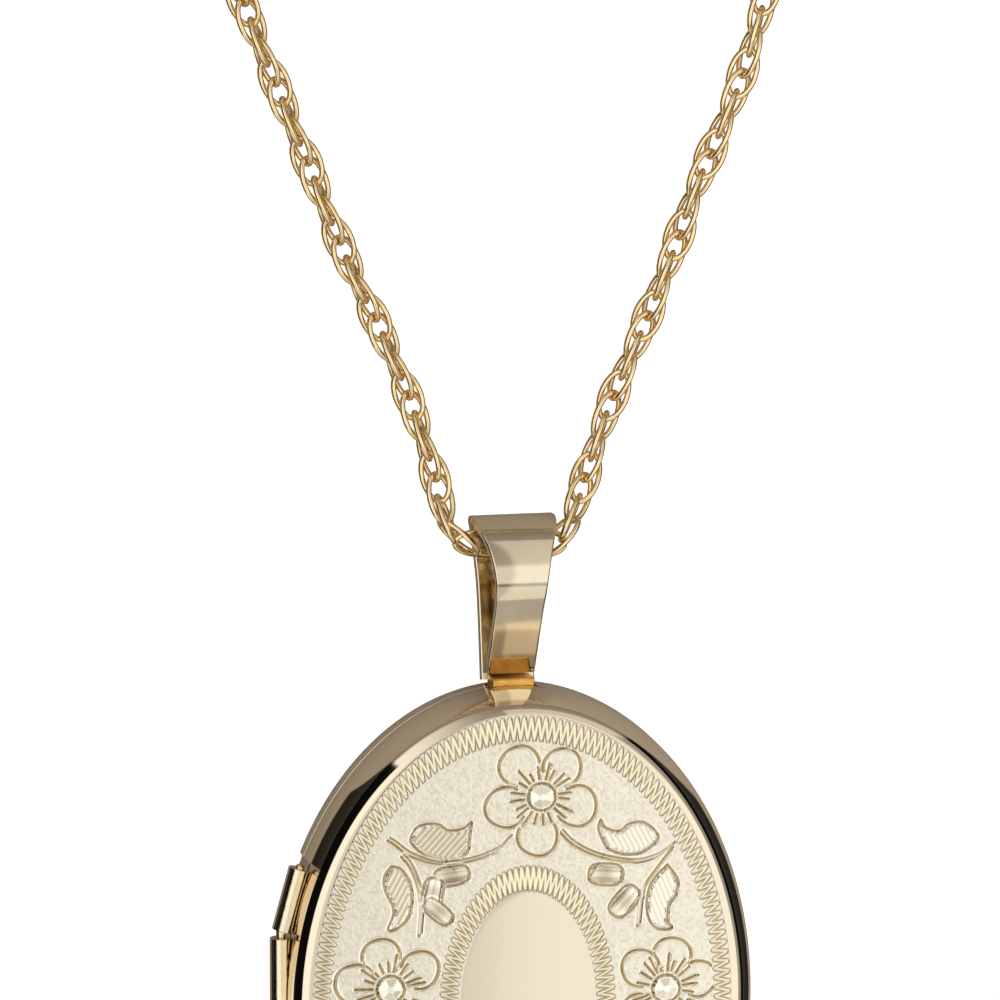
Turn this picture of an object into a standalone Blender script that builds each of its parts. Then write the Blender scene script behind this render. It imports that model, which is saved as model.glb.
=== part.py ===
"""Oval hinged locket on a loose rope chain, lying on its back.

Metres, +Z up. The origin is the centre of the flat back face: +X is to the right of someone
who reads the front face, +Y points to the bail and +Z comes out of the engraved front.
The case opens like a book about a three-knuckle hinge on its left edge.
"""

import math

import bmesh
import bpy
from mathutils import Matrix, Vector

MM = 0.001

# Case: two halves that meet at the parting plane, each a flat face with a rounded rim.
CASE_WIDTH = 20.0 * MM
CASE_HEIGHT = 26.3 * MM
HALF_DEPTH = 2.2 * MM
RIM_INSET = 1.1 * MM
RIM_UPRIGHT = 0.35 * MM
SHELL_WALL = 0.40 * MM
FACE_WALL = 0.40 * MM
FLOOR_INSET = 1.3 * MM
PARTING_GAP = 0.04 * MM
OVAL_STEPS = 64
RIM_STEPS = 6
PIECE_STEPS = 24

# Clearances: soldered or pressed pieces, and pieces that turn or slide on each other.
SEAT_GAP = 0.03 * MM
RUN_GAP = 0.05 * MM

# Catch band: a thin C inside the back half that the front cover snaps over.
BAND_WALL = 0.22 * MM
BAND_RISE = 0.50 * MM
BAND_SINK = 0.55 * MM

# Hinge: a straight middle knuckle on the cover, two end knuckles that lean with the oval.
KNUCKLE_RADIUS = 0.46 * MM
PIN_RADIUS = 0.20 * MM
HINGE_OVERHANG = 0.22 * MM
MIDDLE_KNUCKLE_LENGTH = 5.65 * MM
END_KNUCKLE_LENGTH = 2.72 * MM
KNUCKLE_GAP = 0.27 * MM
RECESS_INSET = 0.42 * MM
RECESS_END_ROOM = 0.50 * MM
HINGE_SEAT_WALL = 0.26 * MM

# Inside each half: a paper blank under a clear window, held by a snap-in oval frame.
FRAME_WIDTH = 0.95 * MM
FRAME_LIP = 0.45 * MM
FRAME_DEPTH = 0.85 * MM
WINDOW_DEPTH = 0.20 * MM
PAPER_DEPTH = 0.20 * MM

# Bail: a folded strap, wide over the top, with a waist on both legs.
BAIL_TOP_WIDTH = 3.57 * MM
BAIL_FRONT_WAIST = 2.06 * MM
BAIL_BACK_WAIST = 2.28 * MM
BAIL_FLARE_LENGTH = 2.3 * MM
BAIL_THICKNESS = 0.32 * MM
BAIL_LOOP_RADIUS = 1.98 * MM
BAIL_LOOP_HEIGHT = 4.99 * MM
BAIL_LOOP_FORWARD = 0.08 * MM
BAIL_FRONT_END_BACKSET = 0.42 * MM
BAIL_BACK_END_BACKSET = 1.02 * MM
BAIL_LOOP_STEPS = 28
BAIL_LEG_STEPS = 8
BAIL_EDGE_ROUND = 0.05 * MM

# Bail foot: the small bar, soldered into the rim of the back half, that carries the bail. The
# front leg stands on it and the back leg lies against its back.
FOOT_WIDTH = 1.78 * MM
FOOT_SUNK = 0.20 * MM
FOOT_PROUD = 0.31 * MM
FOOT_FRONT = 0.40 * MM
FOOT_ROUND = 0.08 * MM
FOOT_SIDE_ROOM = 0.12 * MM

# Chain: the overall diameter of the rope, its coil and its spring-ring clasp.
CHAIN_DIAMETER = 1.36 * MM
CHAIN_POINT_SPACING = 1.3 * MM
COIL_CENTRE = Vector((0.75, 55.6, 0.0)) * MM
COIL_INNER_TURN = 6.0 * MM
COIL_TURN_PITCH = 1.42 * MM
COIL_TURNS_WIDE = 4
COIL_TURNS_HIGH = 2
COIL_FLOOR_GAP = 0.02 * MM
COIL_STEPS = 48

CLASP_X = -13.0 * MM
CLASP_Y = 49.6 * MM
CLASP_RADIUS = 2.25 * MM
CLASP_TUBE_RADIUS = 0.55 * MM
CLASP_TUBE_WALL = 0.19 * MM
CLASP_TUBE_STEPS = 16
CLASP_BEND_STEPS = 26
CLASP_ARC_STEPS = 14
CLASP_MOUTH_START = math.radians(282.0)
CLASP_MOUTH_SWEEP = math.radians(48.0)
TONGUE_START = math.radians(279.0)
TONGUE_SWEEP = math.radians(80.0)
TRIGGER_ANGLE = math.radians(348.0)
TRIGGER_TRAVEL = math.radians(50.0)
TRIGGER_STEM_RADIUS = 0.16 * MM
TRIGGER_BALL_RADIUS = 0.27 * MM
TRIGGER_REACH = 0.90 * MM
TRIGGER_BALL_STEPS = 12
SLOT_END_ROOM = math.radians(4.0)
SLOT_GAP = 0.075 * MM
SPRING_WIRE_RADIUS = 0.05 * MM
SPRING_START = math.radians(53.0)
SPRING_SWEEP = math.radians(37.0)
SPRING_TURNS = 7
SPRING_POINTS_PER_TURN = 8
EYELET_WIRE_RADIUS = 0.20 * MM
EYELET_ROOM = 0.12 * MM
JUMP_RING_WIRE_RADIUS = 0.18 * MM
JUMP_RING_ROOM = 0.27 * MM
CATCH_RING_WIRE_RADIUS = 0.25 * MM
CATCH_RING_ROOM = 0.40 * MM
CATCH_RING_PULL = 0.10 * MM

# Route of the chain's middle line in millimetres, from the bail outwards.
LEFT_ROUTE = (
    (-0.14, 18.97, 1.56), (-0.95, 18.97, 1.56), (-1.75, 19.08, 1.62), (-2.22, 19.40, 1.52),
    (-2.60, 20.05, 1.34), (-2.87, 21.20, 1.12), (-3.40, 23.10, 0.86), (-4.30, 25.76, 0.72),
    (-5.42, 28.35, 0.71), (-6.60, 30.89, 0.71), (-7.56, 33.25, 0.71), (-8.48, 35.59, 0.71),
    (-9.76, 38.80, 0.71), (-11.05, 42.00, 0.71), (-12.15, 43.80, 0.71), (-12.95, 45.55, 1.00),
)
RIGHT_ROUTE = (
    (0.14, 18.97, 1.56), (0.95, 18.95, 1.66), (1.74, 18.99, 1.86), (2.24, 19.40, 1.84),
    (2.68, 20.14, 1.60), (3.12, 21.05, 1.30), (3.75, 22.70, 0.92), (4.62, 24.90, 0.72),
    (5.40, 26.65, 0.71), (6.12, 28.33, 0.71), (7.07, 30.70, 0.71), (7.91, 33.03, 0.71),
    (8.82, 35.20, 0.71), (9.70, 37.30, 0.71), (10.47, 39.60, 0.71), (11.07, 42.00, 0.71),
    (11.58, 45.00, 0.71), (11.76, 48.00, 0.71), (11.62, 49.70, 0.71),
)
TAIL_ROUTE = (
    (-9.75, 60.95, 1.75), (-10.95, 59.70, 1.30), (-12.10, 58.10, 0.90), (-12.80, 56.60, 0.80),
    (-13.00, 55.14, 1.00),
)

HALF_WIDTH = CASE_WIDTH / 2
OVAL_STRETCH = (CASE_HEIGHT - CASE_WIDTH) / 2
PARTING_Z = HALF_DEPTH
FACE_Z = 2 * HALF_DEPTH
CASE_TOP_Y = CASE_HEIGHT / 2
TUBE_RADIUS = CHAIN_DIAMETER / 2
HINGE_X = -HALF_WIDTH - HINGE_OVERHANG + KNUCKLE_RADIUS
END_KNUCKLE_START = MIDDLE_KNUCKLE_LENGTH / 2 + KNUCKLE_GAP
TROUGH_INSET = HALF_WIDTH + HINGE_X + KNUCKLE_RADIUS + RUN_GAP
HINGE_SEAT_INSET = TROUGH_INSET + HINGE_SEAT_WALL
FOOT_BACK = BAIL_BACK_END_BACKSET - BAIL_THICKNESS / 2 - 2 * SEAT_GAP
TONGUE_RADIUS = CLASP_TUBE_RADIUS - CLASP_TUBE_WALL - RUN_GAP
EYELET_RADIUS = EYELET_WIRE_RADIUS + JUMP_RING_WIRE_RADIUS + EYELET_ROOM
JUMP_RING_RADIUS = JUMP_RING_WIRE_RADIUS + 2 * EYELET_WIRE_RADIUS + JUMP_RING_ROOM
CATCH_RING_RADIUS = CATCH_RING_WIRE_RADIUS + CLASP_TUBE_RADIUS + CATCH_RING_ROOM
CLASP_Z = COIL_FLOOR_GAP + 2 * CATCH_RING_WIRE_RADIUS + RUN_GAP + CLASP_TUBE_RADIUS
CLASP_CENTRE = Vector((CLASP_X, CLASP_Y, CLASP_Z))
WELD = 1e-7
SHARP_DEGREES = 35.0
WIRE_SHARP_DEGREES = 60.0
ROUTE_SAMPLES = 24


def clear_scene():
    for item in list(bpy.data.objects):
        bpy.data.objects.remove(item, do_unlink=True)


def new_collection(name):
    collection = bpy.data.collections.new(name)
    bpy.context.scene.collection.children.link(collection)
    return collection


def metal(name, colour, roughness, metallic=1.0):
    """Principled material of one piece; alpha below one is for the clear windows."""
    material = bpy.data.materials.new(name)
    material.use_nodes = True
    shader = material.node_tree.nodes["Principled BSDF"]
    shader.inputs["Base Color"].default_value = (*colour[:3], 1.0)
    shader.inputs["Roughness"].default_value = roughness
    shader.inputs["Metallic"].default_value = metallic
    if len(colour) == 4:
        shader.inputs["Alpha"].default_value = colour[3]
    material.diffuse_color = (*colour[:3], colour[3] if len(colour) == 4 else 1.0)
    return material


def add_object(name, mesh, collection, material=None):
    item = bpy.data.objects.new(name, mesh)
    collection.objects.link(item)
    if material is not None:
        mesh.materials.clear()
        mesh.materials.append(material)
    return item


def evaluated_copy(item):
    """A mesh of the object as its modifiers or its curve settings give it, seams welded."""
    bpy.context.view_layer.update()
    graph = bpy.context.evaluated_depsgraph_get()
    mesh = bpy.data.meshes.new_from_object(item.evaluated_get(graph))
    work = bmesh.new()
    work.from_mesh(mesh)
    bmesh.ops.remove_doubles(work, verts=work.verts, dist=WELD)
    bmesh.ops.recalc_face_normals(work, faces=work.faces)
    work.to_mesh(mesh)
    work.free()
    return mesh


def make_plain_mesh(item, collection, material=None):
    """Swaps a curve or a modified object for a plain mesh object of the same name and place."""
    mesh = evaluated_copy(item)
    name = item.name
    matrix = item.matrix_world.copy()
    bpy.data.objects.remove(item, do_unlink=True)
    plain = add_object(name, mesh, collection, material)
    plain.matrix_world = matrix
    return plain


def shade_round(item, degrees=SHARP_DEGREES):
    item.data.shade_smooth()
    item.data.set_sharp_from_angle(angle=math.radians(degrees))


def turned(name, profile, collection, material=None, steps=OVAL_STEPS, closed=False):
    """A profile of (radius, z) points turned about Z by a Screw modifier."""
    work = bmesh.new()
    points = [work.verts.new((radius, 0.0, z)) for radius, z in profile]
    for first, second in zip(points, points[1:]):
        work.edges.new((first, second))
    if closed:
        work.edges.new((points[-1], points[0]))
    mesh = bpy.data.meshes.new(name)
    work.to_mesh(mesh)
    work.free()
    item = add_object(name, mesh, collection)
    screw = item.modifiers.new("turn", "SCREW")
    screw.steps = steps
    screw.render_steps = steps
    screw.use_merge_vertices = True
    screw.merge_threshold = WELD
    return make_plain_mesh(item, collection, material)


def stretch_to_oval(item):
    """Moves each point along Y by the sine of its angle, so every inset keeps its width."""
    for vertex in item.data.vertices:
        radius = math.hypot(vertex.co.x, vertex.co.y)
        if radius > WELD:
            vertex.co.y += OVAL_STRETCH * vertex.co.y / radius


def oval(name, profile, collection, material=None, closed=False):
    """A turned solid stretched to the case's oval. The profile holds (inset, z) points."""
    radial = [(max(HALF_WIDTH - inset, 0.0), z) for inset, z in profile]
    item = turned(name, radial, collection, material, closed=closed)
    stretch_to_oval(item)
    return item


def quarter_arc(start, end, steps):
    """Quarter of an ellipse of (inset, height) points, upright at its start, flat at its end."""
    points = []
    for index in range(steps + 1):
        angle = math.pi / 2 * index / steps
        inset = end[0] - (end[0] - start[0]) * math.cos(angle)
        height = start[1] + (end[1] - start[1]) * math.sin(angle)
        points.append((inset, height))
    return points


def half_profile(rows, side):
    """Rows of (inset, height above the parting plane), placed on one side and run downwards."""
    placed = [(inset, PARTING_Z + side * height) for inset, height in rows]
    if side > 0:
        placed.reverse()
    return placed


def cut(item, cutter, name="cut"):
    modifier = item.modifiers.new(name, "BOOLEAN")
    modifier.operation = "DIFFERENCE"
    modifier.solver = "EXACT"
    modifier.object = cutter


def hide_cutter(item):
    item.hide_render = True
    item.display_type = "WIRE"
    return item


def box(name, low, high, collection, material=None):
    """A cube primitive sized and placed to fill the space between two corners."""
    low = Vector(low)
    high = Vector(high)
    mesh = bpy.data.meshes.new(name)
    work = bmesh.new()
    bmesh.ops.create_cube(work, size=1.0)
    bmesh.ops.scale(work, vec=high - low, verts=work.verts)
    work.to_mesh(mesh)
    work.free()
    item = add_object(name, mesh, collection, material)
    item.location = (low + high) / 2
    return item


def wire(name, points, radius, collection, material=None, resolution=2, cyclic=False):
    """A round wire or tube through a list of points: a POLY spline with a bevel and caps."""
    data = bpy.data.curves.new(name, "CURVE")
    data.dimensions = "3D"
    data.bevel_depth = radius
    data.bevel_resolution = resolution
    data.use_fill_caps = True
    spline = data.splines.new("POLY")
    spline.points.add(len(points) - 1)
    for target, point in zip(spline.points, points):
        target.co = (*point, 1.0)
    spline.use_cyclic_u = cyclic
    item = bpy.data.objects.new(name, data)
    collection.objects.link(item)
    return make_plain_mesh(item, collection, material)


def arc_points(centre, radius, start, sweep, steps):
    points = []
    for index in range(steps + 1):
        angle = start + sweep * index / steps
        points.append(centre + Vector((math.cos(angle), math.sin(angle), 0.0)) * radius)
    return points


def smooth_route(route, spacing):
    """Catmull-Rom curve through the route's points, read off at an even spacing."""
    knots = [Vector(point) * MM for point in route]
    knots = [2 * knots[0] - knots[1]] + knots + [2 * knots[-1] - knots[-2]]
    fine = []
    for a, b, c, d in zip(knots, knots[1:], knots[2:], knots[3:]):
        for index in range(ROUTE_SAMPLES):
            t = index / ROUTE_SAMPLES
            fine.append(0.5 * (2 * b + (c - a) * t + (2 * a - 5 * b + 4 * c - d) * t ** 2
                               + (3 * b - a - 3 * c + d) * t ** 3))
    fine.append(knots[-2])
    lengths = [0.0]
    for first, second in zip(fine, fine[1:]):
        lengths.append(lengths[-1] + (second - first).length)
    count = max(2, round(lengths[-1] / spacing))
    points = []
    place = 0
    for index in range(count + 1):
        wanted = lengths[-1] * index / count
        while place < len(fine) - 2 and lengths[place + 1] < wanted:
            place += 1
        part = (wanted - lengths[place]) / (lengths[place + 1] - lengths[place])
        points.append(fine[place].lerp(fine[place + 1], part))
    return points


def edge_sector(name, inset, half_length, collection):
    """Everything outside the inset oval, beside the hinge: a box with the oval taken out."""
    reach = HALF_WIDTH / 2
    low = (-HALF_WIDTH - SHELL_WALL * 3, -half_length, -HALF_DEPTH)
    high = (-HALF_WIDTH + reach, half_length, FACE_Z + HALF_DEPTH)
    sector = hide_cutter(box(name, low, high, collection))
    core_rows = [(HALF_WIDTH, FACE_Z + 2 * HALF_DEPTH), (inset, FACE_Z + 2 * HALF_DEPTH),
                 (inset, -2 * HALF_DEPTH), (HALF_WIDTH, -2 * HALF_DEPTH)]
    core = hide_cutter(oval(name + "_core", core_rows, collection))
    cut(sector, core)
    return sector


def outline_x(y):
    """Left edge of the case's oval at a height y above its middle."""
    return -HALF_WIDTH * math.sqrt(1.0 - (y / CASE_TOP_Y) ** 2)


def hinge_line():
    """Middle line of pin and knuckles: straight in the middle, leaning in with the oval."""
    end_y = END_KNUCKLE_START + END_KNUCKLE_LENGTH
    slope = (outline_x(end_y) - outline_x(END_KNUCKLE_START)) / END_KNUCKLE_LENGTH
    lean = Vector((slope, 1.0, 0.0)).normalized()
    turn = Vector((HINGE_X, MIDDLE_KNUCKLE_LENGTH / 2, PARTING_Z))
    start = Vector((HINGE_X + slope * KNUCKLE_GAP, END_KNUCKLE_START, PARTING_Z))
    end = start + lean * END_KNUCKLE_LENGTH
    return turn, start, end


def mirrored(point):
    return Vector((point.x, -point.y, point.z))


def make_cutters(cutters):
    """Solids that are taken out of both halves of the case."""
    turn, start, end = hinge_line()
    lean = (end - start).normalized()
    recess_length = end.y + RECESS_END_ROOM
    past_end = end + lean * (RECESS_END_ROOM / lean.y)
    recess = edge_sector("hinge_recess", RECESS_INSET, recess_length, cutters)
    line = [mirrored(past_end), mirrored(start), mirrored(turn), turn, start, past_end]
    trough = wire("hinge_trough", line, KNUCKLE_RADIUS + RUN_GAP, cutters, resolution=5)
    hide_cutter(trough)
    seat = edge_sector("hinge_seat", HINGE_SEAT_INSET, recess_length + HINGE_SEAT_WALL, cutters)
    notch_low = (-FOOT_WIDTH / 2 - FOOT_SIDE_ROOM, CASE_TOP_Y - FOOT_SUNK - RUN_GAP,
                 PARTING_Z - FOOT_BACK - RUN_GAP)
    notch_high = (FOOT_WIDTH / 2 + FOOT_SIDE_ROOM, CASE_TOP_Y + SHELL_WALL,
                  PARTING_Z + FOOT_FRONT + RUN_GAP)
    notch = hide_cutter(box("foot_notch", notch_low, notch_high, cutters))
    return recess, trough, seat, notch


def half_shell(name, side, parts, cutters, material, shared):
    """One half of the case: the rounded outer form less its hollow, hinge recess and notch."""
    recess, trough, seat, notch = shared
    rim = quarter_arc((0.0, RIM_UPRIGHT), (RIM_INSET, HALF_DEPTH), RIM_STEPS)
    gap = PARTING_GAP / 2
    outside = [(HALF_WIDTH, gap), (0.0, gap)] + rim + [(HALF_WIDTH, HALF_DEPTH)]
    shell = oval(name, half_profile(outside, side), parts, material)
    floor = quarter_arc((SHELL_WALL, RIM_UPRIGHT), (FLOOR_INSET, HALF_DEPTH - FACE_WALL), RIM_STEPS)
    inside = [(HALF_WIDTH, -RIM_UPRIGHT), (SHELL_WALL, -RIM_UPRIGHT)] + floor
    inside.append((HALF_WIDTH, HALF_DEPTH - FACE_WALL))
    hollow = hide_cutter(oval(name + "_hollow", half_profile(inside, side), cutters))
    cut(hollow, seat, "hinge_seat")
    cut(shell, hollow, "hollow")
    cut(shell, recess, "hinge_recess")
    cut(shell, trough, "hinge_trough")
    cut(shell, notch, "foot_notch")
    return make_plain_mesh(shell, parts, material)


def make_catch_band(parts, material, seat):
    """C-shaped band inside the back rim; it stops short of the hinge seat."""
    outer = SHELL_WALL + SEAT_GAP
    inner = outer + BAND_WALL
    low = PARTING_Z - BAND_SINK
    high = PARTING_Z + BAND_RISE
    rows = [(outer, high), (outer, low), (inner, low), (inner, high)]
    band = oval("catch_band", rows, parts, material, closed=True)
    knuckle_end = hinge_line()[-1]
    half_length = knuckle_end.y + RECESS_END_ROOM + HINGE_SEAT_WALL + SEAT_GAP
    low_corner = (-HALF_WIDTH - SHELL_WALL, -half_length, 0.0)
    high_corner = (-HALF_WIDTH / 2, half_length, FACE_Z)
    opening = hide_cutter(box("band_opening", low_corner, high_corner, seat.users_collection[0]))
    cut(band, opening)
    return make_plain_mesh(band, parts, material)


def knuckle(name, start, end, parts, material):
    """A short tube between two points of the hinge line, bored for the pin."""
    length = (end - start).length
    bore = PIN_RADIUS + RUN_GAP
    rows = [(KNUCKLE_RADIUS, length), (KNUCKLE_RADIUS, 0.0), (bore, 0.0), (bore, length)]
    tube = turned(name, rows, parts, material, steps=PIECE_STEPS, closed=True)
    turn = (end - start).to_track_quat("Z", "Y").to_matrix().to_4x4()
    tube.matrix_world = Matrix.Translation(start) @ turn
    shade_round(tube)
    return tube


def make_hinge(parts, material):
    turn, start, end = hinge_line()
    knuckle("hinge_knuckle_upper", start, end, parts, material)
    knuckle("hinge_knuckle_lower", mirrored(end), mirrored(start), parts, material)
    middle = knuckle("hinge_knuckle_middle", mirrored(turn), turn, parts, material)
    line = [mirrored(end), mirrored(start), mirrored(turn), turn, start, end]
    pin = wire("hinge_pin", line, PIN_RADIUS, parts, material, resolution=3)
    shade_round(pin)
    return middle


def make_inside(side, suffix, parts, materials):
    """Paper blank, clear window and snap-in frame of one half, stacked on its floor."""
    floor = HALF_DEPTH - FACE_WALL - SEAT_GAP
    frame_outer = FLOOR_INSET + SEAT_GAP
    frame_inner = frame_outer + FRAME_WIDTH
    rebate = frame_inner - FRAME_LIP
    rebate_depth = PAPER_DEPTH + WINDOW_DEPTH + 2 * SEAT_GAP
    frame_rows = [(frame_outer, floor - FRAME_DEPTH), (frame_outer, floor), (rebate, floor),
                  (rebate, floor - rebate_depth), (frame_inner, floor - rebate_depth),
                  (frame_inner, floor - FRAME_DEPTH)]
    sheet_inset = rebate + SEAT_GAP
    paper_rows = [(HALF_WIDTH, floor - PAPER_DEPTH), (sheet_inset, floor - PAPER_DEPTH),
                  (sheet_inset, floor), (HALF_WIDTH, floor)]
    window_top = floor - PAPER_DEPTH - SEAT_GAP
    window_rows = [(HALF_WIDTH, window_top - WINDOW_DEPTH), (sheet_inset, window_top - WINDOW_DEPTH),
                   (sheet_inset, window_top), (HALF_WIDTH, window_top)]
    frame = oval("photo_frame_" + suffix, half_profile(frame_rows, side), parts,
                 materials["frame"], closed=True)
    paper = oval("photo_blank_" + suffix, half_profile(paper_rows, side), parts, materials["paper"])
    window = oval("window_" + suffix, half_profile(window_rows, side), parts, materials["window"])
    return frame, paper, window


def bail_leg(tangent, end, steps):
    """Straight leg of the strap from the loop to the foot, without its first point."""
    return [tangent.lerp(end, (index + 1) / steps) for index in range(steps)]


def bail_line():
    """Side view of the strap's middle surface as (y, z) points: a loop and two tangent legs."""
    centre = Vector((CASE_TOP_Y + BAIL_LOOP_HEIGHT, PARTING_Z + BAIL_LOOP_FORWARD))
    front_y = CASE_TOP_Y + FOOT_PROUD + BAIL_THICKNESS / 2
    front_end = Vector((front_y, PARTING_Z - BAIL_FRONT_END_BACKSET))
    back_end = Vector((CASE_TOP_Y, PARTING_Z - BAIL_BACK_END_BACKSET))

    def tangent_angle(end, side):
        away = end - centre
        spread = math.acos(BAIL_LOOP_RADIUS / away.length)
        return math.atan2(away.y, away.x) - side * spread

    front_angle = tangent_angle(front_end, 1) % (2 * math.pi)
    back_angle = tangent_angle(back_end, -1) % (2 * math.pi) - 2 * math.pi
    loop = []
    for index in range(BAIL_LOOP_STEPS + 1):
        angle = front_angle + (back_angle - front_angle) * index / BAIL_LOOP_STEPS
        loop.append(centre + Vector((math.cos(angle), math.sin(angle))) * BAIL_LOOP_RADIUS)
    front = list(reversed(bail_leg(loop[0], front_end, BAIL_LEG_STEPS)))
    back = bail_leg(loop[-1], back_end, BAIL_LEG_STEPS)
    return front + loop + back


def make_bail(parts, material):
    """Strap as a ribbon of changing width along its side view, thickened by Solidify."""
    line = bail_line()
    lengths = [0.0]
    for first, second in zip(line, line[1:]):
        lengths.append(lengths[-1] + (second - first).length)
    top = lengths[max(range(len(line)), key=lambda index: line[index].x)]
    work = bmesh.new()
    rungs = []
    for point, length in zip(line, lengths):
        waist = BAIL_FRONT_WAIST if length < top else BAIL_BACK_WAIST
        flare = math.exp(-((length - top) / BAIL_FLARE_LENGTH) ** 2)
        half = (waist + (BAIL_TOP_WIDTH - waist) * flare) / 2
        rungs.append([work.verts.new((x, point.x, point.y)) for x in (-half, half)])
    for (a, b), (c, d) in zip(rungs, rungs[1:]):
        work.faces.new((a, b, d, c))
    mesh = bpy.data.meshes.new("bail")
    work.to_mesh(mesh)
    work.free()
    strap = add_object("bail", mesh, parts)
    solid = strap.modifiers.new("thickness", "SOLIDIFY")
    solid.thickness = BAIL_THICKNESS
    solid.offset = 0.0
    solid.use_even_offset = True
    rounding = strap.modifiers.new("edges", "BEVEL")
    rounding.width = BAIL_EDGE_ROUND
    rounding.segments = 1
    rounding.limit_method = "ANGLE"
    rounding.angle_limit = math.radians(60.0)
    strap = make_plain_mesh(strap, parts, material)
    shade_round(strap)
    return strap


def make_bail_foot(parts, material):
    low = (-FOOT_WIDTH / 2, CASE_TOP_Y - FOOT_SUNK, PARTING_Z - FOOT_BACK)
    high = (FOOT_WIDTH / 2, CASE_TOP_Y + FOOT_PROUD - SEAT_GAP, PARTING_Z + FOOT_FRONT)
    foot = box("bail_foot", low, high, parts, material)
    rounding = foot.modifiers.new("edges", "BEVEL")
    rounding.width = FOOT_ROUND
    rounding.segments = 2
    return foot


def coil_profile():
    """Outer form of the wound chain: a band four turns wide and two high with round corners."""
    inner = COIL_INNER_TURN - TUBE_RADIUS
    outer = COIL_INNER_TURN + (COIL_TURNS_WIDE - 1) * COIL_TURN_PITCH + TUBE_RADIUS
    low = COIL_FLOOR_GAP
    high = low + CHAIN_DIAMETER + (COIL_TURNS_HIGH - 1) * COIL_TURN_PITCH
    corner = TUBE_RADIUS / 2
    return [(outer - corner, high), (outer, high - corner), (outer, low + corner), (outer - corner, low),
            (inner + corner, low), (inner, low + corner), (inner, high - corner), (inner + corner, high)]


def make_chain(parts, material):
    routes = {"chain_left": LEFT_ROUTE, "chain_right": RIGHT_ROUTE, "chain_tail": TAIL_ROUTE}
    for name, route in routes.items():
        points = smooth_route(route, CHAIN_POINT_SPACING)
        shade_round(wire(name, points, TUBE_RADIUS, parts, material), WIRE_SHARP_DEGREES)
    coil = turned("chain_coil", coil_profile(), parts, material, steps=COIL_STEPS, closed=True)
    coil.location = COIL_CENTRE


def ring(name, centre, radius, wire_radius, parts, material, upright):
    """A closed round ring, lying flat or standing in the plane of Y and Z."""
    turn = Matrix.Rotation(math.pi / 2, 4, "Y") if upright else Matrix.Identity(4)
    origin = Vector((0.0, 0.0, 0.0))
    points = [turn @ point for point in arc_points(origin, radius, 0.0, 2 * math.pi, PIECE_STEPS)[:-1]]
    item = wire(name, points, wire_radius, parts, material, cyclic=True)
    item.location = centre
    shade_round(item, WIRE_SHARP_DEGREES)
    return item


def make_clasp_ring(parts, cutters, material):
    """Hollow tube bent to a ring, open at its mouth and slotted for the trigger."""
    work = bmesh.new()
    points = []
    for index in range(CLASP_TUBE_STEPS):
        angle = -2 * math.pi * index / CLASP_TUBE_STEPS
        radius = CLASP_RADIUS + CLASP_TUBE_RADIUS * math.cos(angle)
        points.append(work.verts.new((radius, 0.0, CLASP_TUBE_RADIUS * math.sin(angle))))
    for first, second in zip(points, points[1:] + points[:1]):
        work.edges.new((first, second))
    mesh = bpy.data.meshes.new("clasp_ring")
    work.to_mesh(mesh)
    work.free()
    tube = add_object("clasp_ring", mesh, parts)
    screw = tube.modifiers.new("bend", "SCREW")
    screw.angle = 2 * math.pi - CLASP_MOUTH_SWEEP
    screw.steps = CLASP_BEND_STEPS
    screw.render_steps = CLASP_BEND_STEPS
    wall = tube.modifiers.new("wall", "SOLIDIFY")
    wall.thickness = CLASP_TUBE_WALL
    wall.offset = -1.0
    wall.use_even_offset = True
    tube = make_plain_mesh(tube, parts, material)
    tube.rotation_euler.z = CLASP_MOUTH_START + CLASP_MOUTH_SWEEP
    tube.location = CLASP_CENTRE
    slot_points = arc_points(CLASP_CENTRE, CLASP_RADIUS + CLASP_TUBE_RADIUS, TRIGGER_ANGLE - SLOT_END_ROOM,
                             TRIGGER_TRAVEL + 2 * SLOT_END_ROOM, CLASP_ARC_STEPS)
    slot = hide_cutter(wire("trigger_slot", slot_points, TRIGGER_STEM_RADIUS + SLOT_GAP, cutters))
    cut(tube, slot)
    tube = make_plain_mesh(tube, parts, material)
    shade_round(tube)
    return tube


def make_clasp_tongue(parts, cutters, material):
    """Curved rod that closes the mouth, with the trigger's stem and ball joined to it."""
    rod_points = arc_points(CLASP_CENTRE, CLASP_RADIUS, TONGUE_START, TONGUE_SWEEP, CLASP_ARC_STEPS)
    rod = wire("clasp_tongue", rod_points, TONGUE_RADIUS, parts, material, resolution=3)
    outward = Vector((math.cos(TRIGGER_ANGLE), math.sin(TRIGGER_ANGLE), 0.0))
    stem_start = CLASP_CENTRE + outward * CLASP_RADIUS
    stem_end = stem_start + outward * TRIGGER_REACH
    stem = wire("trigger_stem", [stem_start, stem_end], TRIGGER_STEM_RADIUS, cutters)
    hide_cutter(stem)
    mesh = bpy.data.meshes.new("trigger_ball")
    work = bmesh.new()
    bmesh.ops.create_uvsphere(work, u_segments=TRIGGER_BALL_STEPS, v_segments=TRIGGER_BALL_STEPS // 2,
                              radius=TRIGGER_BALL_RADIUS)
    work.to_mesh(mesh)
    work.free()
    ball = hide_cutter(add_object("trigger_ball", mesh, cutters))
    ball.location = stem_end
    for piece in (stem, ball):
        join = rod.modifiers.new("join", "BOOLEAN")
        join.operation = "UNION"
        join.solver = "EXACT"
        join.object = piece
    rod = make_plain_mesh(rod, parts, material)
    shade_round(rod)
    return rod


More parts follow.
